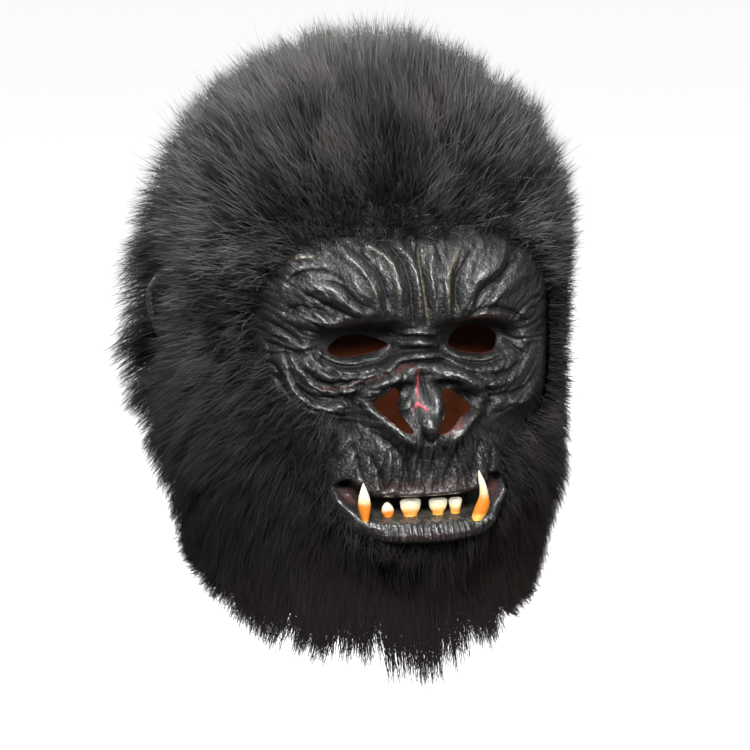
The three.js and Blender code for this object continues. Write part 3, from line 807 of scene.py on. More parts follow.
# Folds and creases that are seen one by one; left and right differ.
FINE_LINES = (
    # forehead
    Line(Kind.FOLD, 0.0026, 0.0026, ((-0.55, 0.02), (-0.41, 0.09), (-0.34, 0.15), (-0.31, 0.24))),
    Line(Kind.FOLD, 0.0028, 0.0026, ((-0.38, 0.01), (-0.23, 0.06), (-0.18, 0.13), (-0.16, 0.27))),
    Line(Kind.CREASE, -0.003, 0.0022, ((-0.47, 0.02), (-0.32, 0.09), (-0.26, 0.16), (-0.24, 0.26))),
    Line(Kind.CREASE, -0.0028, 0.0022, ((-0.01, 0.03), (0.0, 0.14), (0.03, 0.29))),
    Line(Kind.CREASE, -0.0025, 0.002, ((-0.22, 0.01), (-0.12, 0.08), (-0.08, 0.18), (-0.07, 0.28))),
    Line(Kind.FOLD, 0.0022, 0.0024, ((-0.12, 0.02), (-0.05, 0.1), (-0.04, 0.2), (-0.02, 0.28))),
    Line(Kind.FOLD, 0.0022, 0.0024, ((0.1, 0.02), (0.06, 0.1), (0.07, 0.2), (0.09, 0.28))),
    Line(Kind.FOLD, 0.0028, 0.0026, ((0.29, 0.02), (0.17, 0.12), (0.15, 0.19), (0.18, 0.28))),
    Line(Kind.CREASE, -0.0028, 0.0022, ((0.42, 0.02), (0.26, 0.11), (0.22, 0.18), (0.24, 0.26))),
    Line(Kind.FOLD, 0.0028, 0.0026, ((0.62, 0.03), (0.51, 0.1), (0.34, 0.15), (0.29, 0.24))),
    Line(Kind.CREASE, -0.0028, 0.0022, ((0.72, 0.08), (0.56, 0.13), (0.4, 0.18), (0.34, 0.24))),
    Line(Kind.FOLD, 0.0022, 0.0026, ((0.78, 0.13), (0.6, 0.17), (0.44, 0.22))),
    # left brow and temple
    Line(Kind.FOLD, 0.0026, 0.003, ((-0.9, 0.12), (-0.84, 0.08), (-0.76, 0.06), (-0.65, 0.06))),
    Line(Kind.CREASE, -0.0022, 0.002, ((-0.86, 0.15), (-0.74, 0.11), (-0.6, 0.11), (-0.5, 0.14))),
    Line(Kind.FOLD, 0.0024, 0.003, ((-0.8, 0.17), (-0.66, 0.155), (-0.5, 0.19))),
    Line(Kind.CREASE, -0.003, 0.0024, ((-0.87, 0.26), (-0.78, 0.22), (-0.7, 0.225), (-0.56, 0.24))),
    Line(Kind.FOLD, 0.0026, 0.0026, ((-0.79, 0.26), (-0.68, 0.26), (-0.5, 0.285), (-0.36, 0.28))),
    Line(Kind.CREASE, -0.0022, 0.0018, ((-0.99, 0.3), (-0.88, 0.33), (-0.76, 0.36))),
    Line(Kind.CREASE, -0.0022, 0.0018, ((-0.97, 0.34), (-0.87, 0.355), (-0.74, 0.37))),
    Line(Kind.CREASE, -0.0022, 0.0018, ((-0.97, 0.39), (-0.86, 0.375), (-0.73, 0.375))),
    Line(Kind.FOLD, 0.0024, 0.003, ((-0.92, 0.2), (-0.84, 0.13), (-0.76, 0.1), (-0.68, 0.12))),
    Line(Kind.FOLD, 0.0022, 0.0024, ((-0.7, 0.2), (-0.6, 0.19), (-0.48, 0.215), (-0.38, 0.26))),
    Line(Kind.CREASE, -0.003, 0.002, ((-0.66, 0.13), (-0.54, 0.15), (-0.44, 0.2), (-0.36, 0.22))),
    Line(Kind.CREASE, -0.0026, 0.002, ((-0.72, 0.18), (-0.6, 0.215), (-0.5, 0.24), (-0.4, 0.25))),
    Line(Kind.CREASE, -0.0024, 0.002, ((-0.96, 0.27), (-0.86, 0.295), (-0.74, 0.35))),
    Line(Kind.FOLD, 0.002, 0.0024, ((-0.95, 0.31), (-0.86, 0.335), (-0.75, 0.365))),
    Line(
        Kind.CREASE, -0.003, 0.0014,
        ((-0.7, 0.4), (-0.6, 0.428), (-0.46, 0.437), (-0.3, 0.425), (-0.2, 0.405)),
    ),
    Line(
        Kind.CREASE, -0.003, 0.0014,
        ((-0.76, 0.445), (-0.66, 0.475), (-0.52, 0.482), (-0.38, 0.465), (-0.26, 0.44)),
    ),
    Line(Kind.CREASE, -0.0026, 0.0014, ((-0.8, 0.475), (-0.7, 0.505), (-0.58, 0.512), (-0.48, 0.5))),
    Line(Kind.CREASE, -0.0026, 0.0014, ((-0.9, 0.44), (-0.84, 0.5), (-0.76, 0.54), (-0.66, 0.56))),
    # across the bridge and down into the cheeks
    Line(
        Kind.FOLD, 0.003, 0.0019,
        ((-0.5, 0.45), (-0.3, 0.425), (-0.13, 0.39), (0.0, 0.378), (0.14, 0.39), (0.34, 0.43)),
    ),
    Line(
        Kind.CREASE, -0.0032, 0.0019,
        ((-0.46, 0.475), (-0.28, 0.44), (-0.13, 0.405), (0.0, 0.393), (0.14, 0.402), (0.3, 0.43)),
    ),
    Line(
        Kind.CREASE, -0.003, 0.0018,
        ((-0.26, 0.4), (-0.13, 0.372), (0.0, 0.362), (0.14, 0.37), (0.24, 0.4)),
    ),
    Line(Kind.FOLD, 0.0026, 0.0018, ((-0.16, 0.345), (-0.03, 0.335), (0.12, 0.35))),
    Line(Kind.CREASE, -0.003, 0.0018, ((-0.16, 0.33), (-0.04, 0.318), (0.14, 0.335))),
    Line(Kind.FOLD, 0.0024, 0.0018, ((-0.12, 0.31), (-0.02, 0.302), (0.1, 0.312))),
    # under the left eye
    Line(
        Kind.FOLD, 0.0022, 0.0022,
        ((-0.79, 0.4), (-0.71, 0.465), (-0.59, 0.49), (-0.41, 0.47), (-0.3, 0.44)),
    ),
    Line(
        Kind.CREASE, -0.003, 0.002,
        ((-0.76, 0.42), (-0.68, 0.455), (-0.55, 0.465), (-0.4, 0.445), (-0.26, 0.42)),
    ),
    Line(Kind.FOLD, 0.0022, 0.0022, ((-0.75, 0.39), (-0.64, 0.435), (-0.51, 0.44), (-0.36, 0.41))),
    Line(
        Kind.CREASE, -0.003, 0.0022,
        ((-0.84, 0.42), (-0.78, 0.48), (-0.68, 0.52), (-0.52, 0.52), (-0.42, 0.5)),
    ),
    Line(
        Kind.FOLD, 0.0022, 0.0024,
        ((-0.86, 0.41), (-0.82, 0.47), (-0.74, 0.525), (-0.64, 0.55), (-0.5, 0.55)),
    ),
    Line(Kind.CREASE, -0.0022, 0.0018, ((-0.99, 0.4), (-0.9, 0.42), (-0.87, 0.46))),
    Line(Kind.CREASE, -0.0022, 0.0018, ((-0.98, 0.43), (-0.9, 0.455), (-0.86, 0.5))),
    Line(
        Kind.FOLD, 0.003, 0.0016,
        ((-0.66, 0.365), (-0.56, 0.392), (-0.44, 0.402), (-0.3, 0.394), (-0.2, 0.372)),
    ),
    Line(Kind.CREASE, -0.003, 0.0016, ((-0.66, 0.385), (-0.52, 0.412), (-0.38, 0.412), (-0.22, 0.392))),
    # the right eye and cheek
    Line(Kind.FOLD, 0.003, 0.0016, ((0.16, 0.365), (0.28, 0.395), (0.43, 0.408), (0.57, 0.388))),
    Line(Kind.CREASE, -0.003, 0.0016, ((0.16, 0.385), (0.3, 0.412), (0.46, 0.42), (0.62, 0.4))),
    Line(Kind.FOLD, 0.0022, 0.0028, ((0.2, 0.29), (0.36, 0.265), (0.54, 0.275), (0.7, 0.32))),
    Line(Kind.CREASE, -0.0026, 0.002, ((0.26, 0.27), (0.42, 0.235), (0.6, 0.25), (0.76, 0.3))),
    Line(Kind.CREASE, -0.0022, 0.0018, ((0.58, 0.32), (0.66, 0.35), (0.74, 0.36))),
    Line(Kind.CREASE, -0.0022, 0.0018, ((0.6, 0.35), (0.68, 0.385), (0.76, 0.41))),
    Line(
        Kind.CREASE, -0.0028, 0.0022,
        ((0.08, 0.39), (0.23, 0.42), (0.38, 0.45), (0.6, 0.455), (0.72, 0.42)),
    ),
    Line(Kind.FOLD, 0.002, 0.0024, ((0.2, 0.44), (0.36, 0.475), (0.56, 0.485), (0.72, 0.46))),
    Line(Kind.CREASE, -0.0022, 0.0022, ((0.48, 0.52), (0.6, 0.53), (0.76, 0.51), (0.88, 0.45))),
    Line(Kind.FOLD, 0.0016, 0.002, ((0.62, 0.55), (0.74, 0.56), (0.86, 0.54))),
    # nose
    Line(Kind.FOLD, 0.003, 0.003, ((-0.33, 0.5), (-0.28, 0.46), (-0.2, 0.44), (-0.11, 0.445))),
    Line(Kind.FOLD, 0.003, 0.003, ((0.35, 0.51), (0.29, 0.465), (0.21, 0.44), (0.11, 0.445))),
    Line(Kind.CREASE, -0.0035, 0.0024, ((-0.24, 0.43), (-0.38, 0.46), (-0.46, 0.52), (-0.45, 0.58))),
    Line(Kind.CREASE, -0.0035, 0.0024, ((0.27, 0.43), (0.4, 0.47), (0.47, 0.53), (0.45, 0.6))),
    Line(Kind.CREASE, -0.003, 0.0022, ((-0.25, 0.475), (-0.15, 0.462), (-0.07, 0.475))),
    Line(Kind.CREASE, -0.003, 0.0022, ((0.26, 0.475), (0.16, 0.462), (0.08, 0.475))),
    Line(Kind.CREASE, -0.002, 0.0018, ((-0.03, 0.42), (-0.005, 0.48), (-0.005, 0.53))),
    Line(Kind.CREASE, -0.0028, 0.002, ((-0.07, 0.52), (-0.085, 0.58), (-0.04, 0.635), (0.02, 0.64),
                                      (0.075, 0.585), (0.065, 0.52))),
    Line(
        Kind.FOLD, 0.0024, 0.0022,
        ((-0.41, 0.54), (-0.34, 0.555), (-0.26, 0.59), (-0.17, 0.632), (-0.1, 0.645)),
    ),
    Line(Kind.FOLD, 0.0024, 0.0022, ((0.4, 0.555), (0.3, 0.575), (0.22, 0.6), (0.12, 0.635))),
    # muzzle
    Line(Kind.CREASE, -0.0026, 0.0024, ((-0.38, 0.61), (-0.23, 0.66), (-0.15, 0.73), (-0.13, 0.8))),
    Line(Kind.CREASE, -0.002, 0.002, ((-0.46, 0.66), (-0.43, 0.74), (-0.41, 0.8))),
    Line(Kind.CREASE, -0.002, 0.002, ((-0.38, 0.68), (-0.31, 0.76), (-0.29, 0.81))),
    Line(Kind.CREASE, -0.0022, 0.0018, ((-0.06, 0.66), (-0.05, 0.72), (-0.03, 0.8))),
    Line(Kind.CREASE, -0.0022, 0.0018, ((0.03, 0.66), (0.03, 0.73), (0.04, 0.81))),
    Line(Kind.CREASE, -0.0024, 0.0022, ((0.2, 0.645), (0.15, 0.71), (0.14, 0.8))),
    Line(Kind.CREASE, -0.002, 0.002, ((0.37, 0.66), (0.32, 0.73), (0.3, 0.81))),
    Line(Kind.CREASE, -0.002, 0.002, ((0.48, 0.68), (0.45, 0.76), (0.44, 0.82))),
    Line(Kind.FOLD, 0.0014, 0.0018, ((-0.4, 0.8), (-0.2, 0.815), (0.0, 0.82), (0.2, 0.815), (0.4, 0.8))),
)
TINTS = (
    Line(Kind.TINT, 1.3, 0.001, ((-0.045, 0.41), (-0.05, 0.46), (-0.065, 0.53))),
    Line(Kind.TINT, 0.8, 0.0007, ((-0.05, 0.41), (-0.12, 0.412), (-0.21, 0.43))),
    Line(Kind.TINT, 1.3, 0.001, ((-0.11, 0.55), (-0.065, 0.528), (0.0, 0.552))),
    Line(Kind.TINT, 0.5, 0.0008, ((-0.74, 0.47), (-0.61, 0.485), (-0.41, 0.46), (-0.21, 0.43))),
    Line(Kind.TINT, 0.35, 0.002, ((0.3, 0.27), (0.42, 0.255), (0.56, 0.275), (0.68, 0.33))),
    Line(Kind.TINT, 0.6, 0.0012, ((-0.33, 0.54), (-0.24, 0.58), (-0.14, 0.61))),
    Line(Kind.TINT, 0.8, 0.0014, ((0.24, 0.58), (0.16, 0.6), (0.08, 0.625))),
    Line(Kind.TINT, 0.3, 0.005, ((-0.46, 0.79), (-0.2, 0.8), (0.1, 0.8), (0.46, 0.79))),
    Line(Kind.TINT, 0.6, 0.0012, ((-0.46, 0.82), (-0.2, 0.832), (0.1, 0.835), (0.44, 0.82))),
    Line(Kind.TINT, 0.6, 0.003, ((-0.54, 0.81), (-0.47, 0.84), (-0.4, 0.865))),
    Line(Kind.TINT, 0.6, 0.0026, ((0.54, 0.81), (0.48, 0.84), (0.42, 0.865))),
    Line(Kind.TINT, 0.25, 0.004, ((-0.46, 0.93), (-0.2, 0.95), (0.1, 0.955), (0.4, 0.94))),
)
# Painted shadow, near-black: the eye sockets under the brows, beside the left nose wing, over the nostrils,
# the mouth slot and the top edge of the face under the fur.
PAINTED_SHADOWS = (
    Line(Kind.TINT, 0.95, 0.0085, ((-0.74, 0.33), (-0.56, 0.32), (-0.36, 0.315), (-0.16, 0.315)), 1.8),
    Line(Kind.TINT, 0.9, 0.0065, ((0.18, 0.325), (0.32, 0.305), (0.5, 0.295), (0.62, 0.32)), 1.6),
    Line(Kind.TINT, 0.9, 0.0042, ((-0.56, 0.59), (-0.47, 0.575), (-0.4, 0.58))),
    Line(Kind.TINT, 0.9, 0.0045, ((0.0, 0.868), (0.34, 0.864), (0.45, 0.83), (0.52, 0.8)), 1.6, True, False),
    Line(Kind.TINT, 0.8, 0.0022, ((-0.22, 0.47), (-0.15, 0.464), (-0.09, 0.48))),
    Line(Kind.TINT, 0.8, 0.0022, ((0.2, 0.475), (0.13, 0.464), (0.08, 0.48))),
    Line(Kind.TINT, 0.7, 0.004, ((-0.6, 0.0), (-0.2, 0.005), (0.2, 0.005), (0.6, 0.0)), 1.0, False, False),
)
# Painted highlights in tan along the crests of some ridges.
TAN_HIGHLIGHTS = (
    Line(Kind.TINT, 0.3, 0.0005, ((-0.56, 0.02), (-0.42, 0.09), (-0.35, 0.15), (-0.32, 0.24))),
    Line(Kind.TINT, 0.35, 0.0005, ((-0.39, 0.01), (-0.24, 0.06), (-0.19, 0.13), (-0.17, 0.27))),
    Line(Kind.TINT, 0.55, 0.0005, ((-0.005, 0.04), (0.0, 0.14), (0.04, 0.29))),
    Line(Kind.TINT, 0.65, 0.0006, ((0.29, 0.02), (0.17, 0.12), (0.15, 0.19), (0.17, 0.27))),
    Line(Kind.TINT, 0.25, 0.0005, ((0.62, 0.03), (0.51, 0.1), (0.34, 0.15))),
    Line(Kind.TINT, 0.6, 0.0006, ((-0.84, 0.08), (-0.76, 0.062), (-0.65, 0.06))),
    Line(Kind.TINT, 0.25, 0.0012, ((-0.46, 0.885), (-0.2, 0.895), (0.1, 0.895), (0.44, 0.885))),
)


class FaceRelief:
    """How far the face stands out from the plain head, from large forms down to wrinkles."""

    def __init__(self, face: FaceFrame, seed: int = 4) -> None:
        """Sets up the noises."""
        self.face = face
        self.broad = Noise(seed)
        self.close = Noise(seed + 1)

    def edges(self, p: Array, q: Array) -> Array:
        """Fades the relief out beyond the face."""
        return (1 - ease(np.abs(p), 0.92, 1.06)) * ease(q, -0.12, 0.04) * (1 - ease(q, 1.02, 1.2))

    def form(self, p: Array, q: Array) -> Array:
        """The large forms."""
        reach = sum(one.height(p, q) for one in FORMS)
        reach = reach + sum(one.along(p, q, self.face) for one in FORM_LINES)
        return reach * self.edges(p, q)

    def _billow(self, across: Array, down: Array, layer: float) -> Array:
        """Rounded swellings with sharp folds between them, from 0 to about 1."""
        warp = 0.35 * self.broad.flat(across * 0.7, down * 0.7, layer + 9.0)
        return np.sqrt(np.abs(self.close.flat(across + warp, down + warp, layer)) + 0.004)

    def _fan(self, p: Array, q: Array, middle: Pair) -> tuple[Array, Array]:
        """Turn and distance about a place of the face, in radians from straight up and in metres."""
        across = (p - middle[0]) * self.face.half
        up = (middle[1] - q) * self.face.tall
        return np.arctan2(across, up), np.hypot(across, up)

    def _brow(self, p: Array, q: Array) -> Array:
        """Folds of the forehead that run down to the inner corners of the eyes."""
        made = np.zeros(len(p))
        sides = ((-0.1, 1 - ease(p, -0.1, 0.0)), (0.12, ease(p, 0.04, 0.16)))
        for (middle, share), layer in zip(sides, (0.0, 40.0)):
            turn, far = self._fan(p, q, (middle, 0.4))
            made += share * (self._billow(turn * 4.6, far * 34.0, layer) - 0.42) * 0.0026
            made += share * (self._billow(turn * 11.0, far * 90.0, layer + 3.0) - 0.42) * 0.0011
        middle = ease(p, -0.12, -0.02) * (1 - ease(p, 0.06, 0.16))
        made += middle * (self._billow(p * 14.0, q * 9.0, 80.0) - 0.42) * 0.0018
        return made * (1 - ease(q, 0.23, 0.3))

    def _under_eyes(self, p: Array, q: Array) -> Array:
        """Curved folds under the eyes and the fan of creases beside them."""
        made = np.zeros(len(p))
        for side, depth in ((-1, 0.0038), (1, 0.0022)):
            turn, far = self._fan(p, q, (side * 0.42, 0.345))
            below = ease(-np.cos(turn), -0.1, 0.35) * ease(far, 0.011, 0.017) * (1 - ease(far, 0.036, 0.046))
            below = below * (1 - ease(-side * p, -0.16, -0.06))
            made += depth * below * (self._billow(far * 210.0, turn * 1.6, 7.0 + side) - 0.42)
            made += 0.4 * depth * below * (self._billow(far * 480.0, turn * 3.0, 27.0 + side) - 0.42)
            outer = ease(side * np.sin(turn), 0.55, 0.85) * ease(far, 0.014, 0.02)
            made += 0.003 * outer * (1 - below) * (self._billow(turn * 8.0, far * 60.0, 11.0) - 0.42)
        return made

    def wrinkles(self, p: Array, q: Array) -> Array:
        """Skin folds that run with the forms of the face."""
        made = self._brow(p, q) + self._under_eyes(p, q)
        bridge = bell(p / 0.24) * ease(q, 0.26, 0.3) * (1 - ease(q, 0.385, 0.42))
        made += 0.0026 * bridge * (self._billow(p * 2.4, (q + 0.5 * p * p) * 30.0, 5.0) - 0.42)
        turn, far = self._fan(p, q, (0.0, 0.2))
        muzzle = ease(q, 0.6, 0.66) * (1 - ease(q, 0.79, 0.825)) * (1 - ease(np.abs(p), 0.54, 0.64))
        made += 0.0038 * muzzle * (self._billow(turn * 15.0, far * 36.0, 15.0) - 0.42)
        made += 0.0016 * muzzle * (self._billow(turn * 40.0, far * 90.0, 17.0) - 0.42)
        lip = ease(q, 0.88, 0.9) * (1 - ease(q, 0.99, 1.03)) * (1 - ease(np.abs(p), 0.58, 0.66))
        made += 0.0026 * lip * (self._billow(p * 33.0, q * 6.0, 19.0) - 0.42)
        nose = bell(np.hypot(p / 0.36, (q - 0.5) / 0.1), 2.0)
        return made + 0.0005 * (1 - 0.8 * nose) * (self._billow(p * 26.0, q * 40.0, 21.0) - 0.42)

    def height(self, across: Array, height: Array) -> Array:
        """The whole relief at places seen from the front."""
        p, q = self.face.shares(across, height)
        fine = 1.35 * sum(one.along(p, q, self.face) for one in FINE_LINES)
        fine = fine + sum(one.height(p, q) for one in SMALL_FORMS) + self.wrinkles(p, q)
        mouth = bell((q - 0.865) / 0.035, 2.0) * (1 - ease(np.abs(p), 0.4, 0.5))
        return self.form(p, q) + fine * self.edges(p, q) * (1 - 0.85 * mouth)

    def paint(self, across: Array, height: Array, lines: Sequence[Line]) -> Array:
        """How strongly painted lines cover places seen from the front."""
        p, q = self.face.shares(across, height)
        return np.clip(sum(one.along(p, q, self.face) for one in lines), 0.0, 1.0)


# --- the latex casting


@dataclass
class LatexMask:
    """The casting: a fine skin over the face, walls round its openings and a lining inside."""

    head: HeadForm
    face: FaceFrame
    relief: FaceRelief
    fine_columns: int = 240
    coarse_columns: int = 40
    dome_rows: int = 16
    face_rows: int = 272
    neck_rows: int = 10
    lining_coarse: int = 3

    def _angles(self) -> Array:
        """Angles of the columns: even steps across the face, even angles behind."""
        edge = 0.9 * self.head.half
        across = np.linspace(-edge, edge, self.fine_columns + 1)
        ahead = self.head.front * np.power(
            1 - np.abs(across / self.head.half) ** self.head.front_hard, 1 / self.head.front_hard
        )
        front = np.arctan2(across, ahead)
        step = (2 * math.pi - 2 * front[-1]) / (self.coarse_columns + 1)
        return np.concatenate([front, front[-1] + step * np.arange(1, self.coarse_columns + 1)])

    def _shares(self) -> Array:
        """Shares of the way down of the rows, close over the face."""
        levels = np.linspace(-0.1, 1.09, self.face_rows)
        _, heights = self.face.place(0.0, levels)
        rows = np.minimum((self.head.wall - heights) / self.head.tall, 0.965)
        dome = rows[0] * (np.arange(1, self.dome_rows) / self.dome_rows) ** 1.6
        neck = rows[-1] + (1 - rows[-1]) * np.arange(1, self.neck_rows + 1) / self.neck_rows
        return np.concatenate([[0.0008], dome, rows, neck])

    def _holes(self, steps: int = 8) -> list[Array]:
        """The openings' outlines."""
        return [self.face.outline(points, steps) for points in OPENINGS]

    def _open(self, points: Array, rows: int, columns: int, room: float) -> tuple[Array, Array]:
        """Leaves the openings out of a grid and moves the points beside them onto their outlines."""
        faces = grid_faces(rows, columns, True)
        keep = np.ones(len(faces), bool)
        ahead = points[:, 1] < -0.3 * self.head.front
        for outline in self._holes():
            middle = outline.mean(axis=0)
            outline = middle + (outline - middle) * (1 + room / np.ptp(outline[:, 0]))
            centre = points[faces].mean(axis=1)
            near = np.flatnonzero(
                np.all(np.abs(centre[:, [0, 2]] - middle) < 0.03, axis=1) & ahead[faces[:, 0]]
            )
            _, _, inside = to_outline(centre[near][:, [0, 2]], outline)
            keep[near[inside]] = False
            edge = np.intersect1d(faces[near[inside]], faces[keep])
            _, foot, _ = to_outline(points[edge][:, [0, 2]], outline)
            points[edge, 0], points[edge, 2] = foot[:, 0], foot[:, 1]
        return points, faces[keep]

    def _surface(self, angles: Array, shares: Array, out: float) -> tuple[Array, Array]:
        """Points of a grid and their relief, moved out by a distance."""
        angle, share = np.meshgrid(angles, shares)
        angle, share = angle.ravel(), share.ravel()
        points = self.head.point(angle, share)
        if out:
            points = points + out * self.head.normal(angle, share)
        ahead = np.cos(angle) > 0
        lift = np.zeros(len(points))
        lift[ahead] = self.relief.height(points[ahead, 0], points[ahead, 2])
        return points, lift

    def _values(self, lift: Array, rows: int, columns: int, points: Array) -> dict[str, Array]:
        """What stands out, what lies deep and what is tinted."""
        field = lift.reshape(rows, columns)
        wide = field.copy()
        for axis in (0, 1):
            steps = np.arange(-6, 7)
            weight = np.exp(-((steps / 3.2) ** 2))
            wide = sum(w * np.roll(wide, s, axis=axis) for w, s in zip(weight, steps)) / weight.sum()
        stand = (field - wide).ravel()
        # hollow marks creases that are darkened as painted shade; raised marks what stands out, which gets
        # dry-brushed grey that is also a painted highlight.
        values = {
            "raised": np.clip(stand / 0.0012, 0.0, 1.0),
            "hollow": np.clip(-stand / 0.0014, 0.0, 1.0),
        }
        ahead = points[:, 1] < 0
        for key, lines in (("tint", TINTS), ("shade", PAINTED_SHADOWS), ("rub", TAN_HIGHLIGHTS)):
            values[key] = np.zeros(len(lift))
            values[key][ahead] = self.relief.paint(points[ahead, 0], points[ahead, 2], lines)
        return values

    def _wall(self, outline: Array) -> tuple[Array, Array]:
        """The wall round an opening."""
        middle = outline.mean(axis=0)
        rings = []
        for spread, deep in ((1.012, 0.0002), (0.985, 0.0007), (0.98, 0.0016), (1.02, 0.0024)):
            ring = middle + (outline - middle) * spread
            y = self.head.front_y(ring[:, 0], ring[:, 1]) - self.relief.height(outline[:, 0], outline[:, 1])
            rings.append(np.column_stack([ring[:, 0], y + deep, ring[:, 1]]))
        return np.vstack(rings), grid_faces(len(rings), len(outline), True)

    def build(self, latex: bpy.types.Material, raw: bpy.types.Material) -> bpy.types.Object:
        """Builds and dresses the casting."""
        sheet = MeshSheet()
        angles, shares = self._angles(), self._shares()
        points, lift = self._surface(angles, shares, 0.0)
        values = self._values(lift, len(shares), len(angles), points)
        points[:, 1] -= lift
        points, faces = self._open(points, len(shares), len(angles), 0.0)
        sheet.add(points, [faces], 0, **values)
        for outline in self._holes():
            ring, walls = self._wall(outline)
            # The walls round the openings are half darkened with painted shade and tinted red-brown.
            sheet.add(ring, [walls], 0, hollow=np.full(len(ring), 0.5), tint=np.full(len(ring), 0.8))
        inner_angles, inner_shares = angles[:: self.lining_coarse], shares[:: self.lining_coarse]
        inner_shares = np.append(inner_shares, 1.0)
        inner, lift = self._surface(inner_angles, inner_shares, -self.head.wall)
        inner[:, 1] -= lift - 0.0012
        inner, faces = self._open(inner, len(inner_shares), len(inner_angles), 0.003)
        sheet.add(inner, [faces[:, ::-1]], 1)
        rim = np.vstack([self._surface(angles, np.array([1.0]), out)[0] for out in (0.0, -self.head.wall)])
        sheet.add(rim, [grid_faces(2, len(angles), True)], 0)
        return sheet.build("latex_mask_skin", [latex, raw])


# --- ears


@dataclass
class Ear:
    """An ear: a dished plate with a rolled rim, cut where it meets the head."""

    side: int
    head: HeadForm
    reach: float = 0.0235
    half_tall: float = 0.027
    thick: float = 0.0026
    drop: float = 0.112
    back: float = 0.019
    lean: float = math.radians(22)
    rings: int = 26
    spokes: int = 84

    def _place(self, out: Array, up: Array, ahead: Array) -> Array:
        """Points from the ear's own measures."""
        root = self.head.half - 0.002
        x = root + out * math.cos(self.lean) + ahead * math.sin(self.lean)
        y = self.back - 0.5 * self.reach * math.sin(self.lean) + out * math.sin(self.lean)
        return np.column_stack([self.side * x, y - ahead * math.cos(self.lean), up - self.drop])

    def _rise(self, r: Array, turn: Array) -> Array:
        """How far the front of the ear stands over its plate."""
        roll = 0.2 * bell((r - 0.9) / 0.13)
        inner = 0.1 * bell((r - 0.6) / 0.09) * ease(np.cos(turn), -0.4, 0.6)
        return self.reach * (roll + inner + 0.06 * ease(r, 0.2, 0.8))

    def build(self, latex: bpy.types.Material) -> bpy.types.Object:
        """Builds and dresses the ear."""
        share = np.concatenate([np.linspace(0.02, 1.0, self.rings), np.linspace(1.0, 0.02, self.rings)])
        front = np.arange(len(share)) < self.rings
        r, turn = np.meshgrid(share, np.linspace(0, 2 * math.pi, self.spokes, endpoint=False), indexing="ij")
        face = np.repeat(front, self.spokes)
        r, turn = r.ravel(), turn.ravel()
        wave = 1 + 0.12 * np.sin(turn) + 0.02 * np.sin(5 * turn)
        out = r * self.reach * np.cos(turn) * wave
        up = r * self.half_tall * np.sin(turn)
        rise = self._rise(r, turn) - np.where(face, 0.0, self.thick)
        points = self._place(out, up, rise)
        down = (self.head.wall - points[:, 2]) / self.head.tall
        angle = np.arctan2(points[:, 0], -points[:, 1])
        surface = self.head.point(angle, np.clip(down, 0.0, 1.0))
        inside = np.hypot(points[:, 0], points[:, 1]) < np.hypot(surface[:, 0], surface[:, 1])
        points[inside, :2] = surface[inside, :2]
        sheet = MeshSheet()
        order = grid_faces(len(share), self.spokes, True)
        # raised gives the rim dry-brushed grey that is also a painted highlight; hollow gives a ring of
        # painted shade inside it.
        sheet.add(
            points, [order if self.side > 0 else order[:, ::-1]], 0,
            raised=bell((r - 0.93) / 0.08) * face, hollow=bell((r - 0.74) / 0.08) * face,
            tint=0.3 * bell((r - 0.5) / 0.2),
        )
        return sheet.build(f"ear_{'right' if self.side > 0 else 'left'}_shell", [latex])


# --- teeth


@dataclass(frozen=True)
class ToothShape:
    """A tooth's outline from foot to tip: height, width and thickness as shares, and its bends."""

    name: str
    rings: tuple[tuple[float, float, float], ...]
    lean: float = 0.0
    sway: float = 0.0
    notch: float = 0.0
    stain: float = 0.5
    tall: float = 1.0
    shift: float = 0.0
    proud: float = 0.0


TOOTH_SHAPES = (
    ToothShape("tooth_1", ((0.0, 0.5, 1.0), (0.14, 0.72, 0.95), (0.42, 1.0, 0.9), (0.7, 0.86, 0.75),
                           (0.9, 0.5, 0.5), (1.0, 0.15, 0.2)), lean=-0.1, stain=0.9),
    ToothShape("tooth_2", ((0.0, 0.82, 1.0), (0.1, 0.74, 0.95), (0.2, 0.68, 0.9), (0.48, 0.92, 0.8),
                           (0.8, 1.0, 0.7), (0.93, 0.92, 0.5), (1.0, 0.6, 0.2)), notch=0.03, stain=0.65),
    ToothShape("tooth_3", ((0.0, 0.7, 1.0), (0.1, 0.64, 0.95), (0.22, 0.6, 0.9), (0.5, 0.9, 0.8),
                           (0.82, 1.0, 0.7), (0.94, 0.9, 0.5), (1.0, 0.55, 0.2)), notch=0.03, stain=0.65),
    ToothShape("tooth_4", ((0.0, 0.8, 1.0), (0.2, 0.7, 0.9), (0.5, 0.84, 0.85), (0.8, 1.0, 0.6),
                           (0.94, 0.88, 0.45), (1.0, 0.55, 0.2)), notch=0.05, stain=0.6),
    ToothShape("fang_left", ((0.0, 0.5, 1.0), (0.14, 0.6, 0.95), (0.42, 1.0, 0.9), (0.64, 0.9, 0.7),
                             (0.86, 0.46, 0.42), (1.0, 0.08, 0.1)), lean=-0.12, stain=1.15, tall=0.88,
               shift=-0.0026),
    ToothShape("fang_right", ((0.0, 0.7, 1.0), (0.12, 0.95, 0.95), (0.3, 0.95, 0.9), (0.52, 0.6, 0.7),
                              (0.8, 0.4, 0.42), (1.0, 0.08, 0.1)), lean=0.2, sway=0.2, stain=0.95, tall=0.9,
               shift=-0.005, proud=0.004),
)


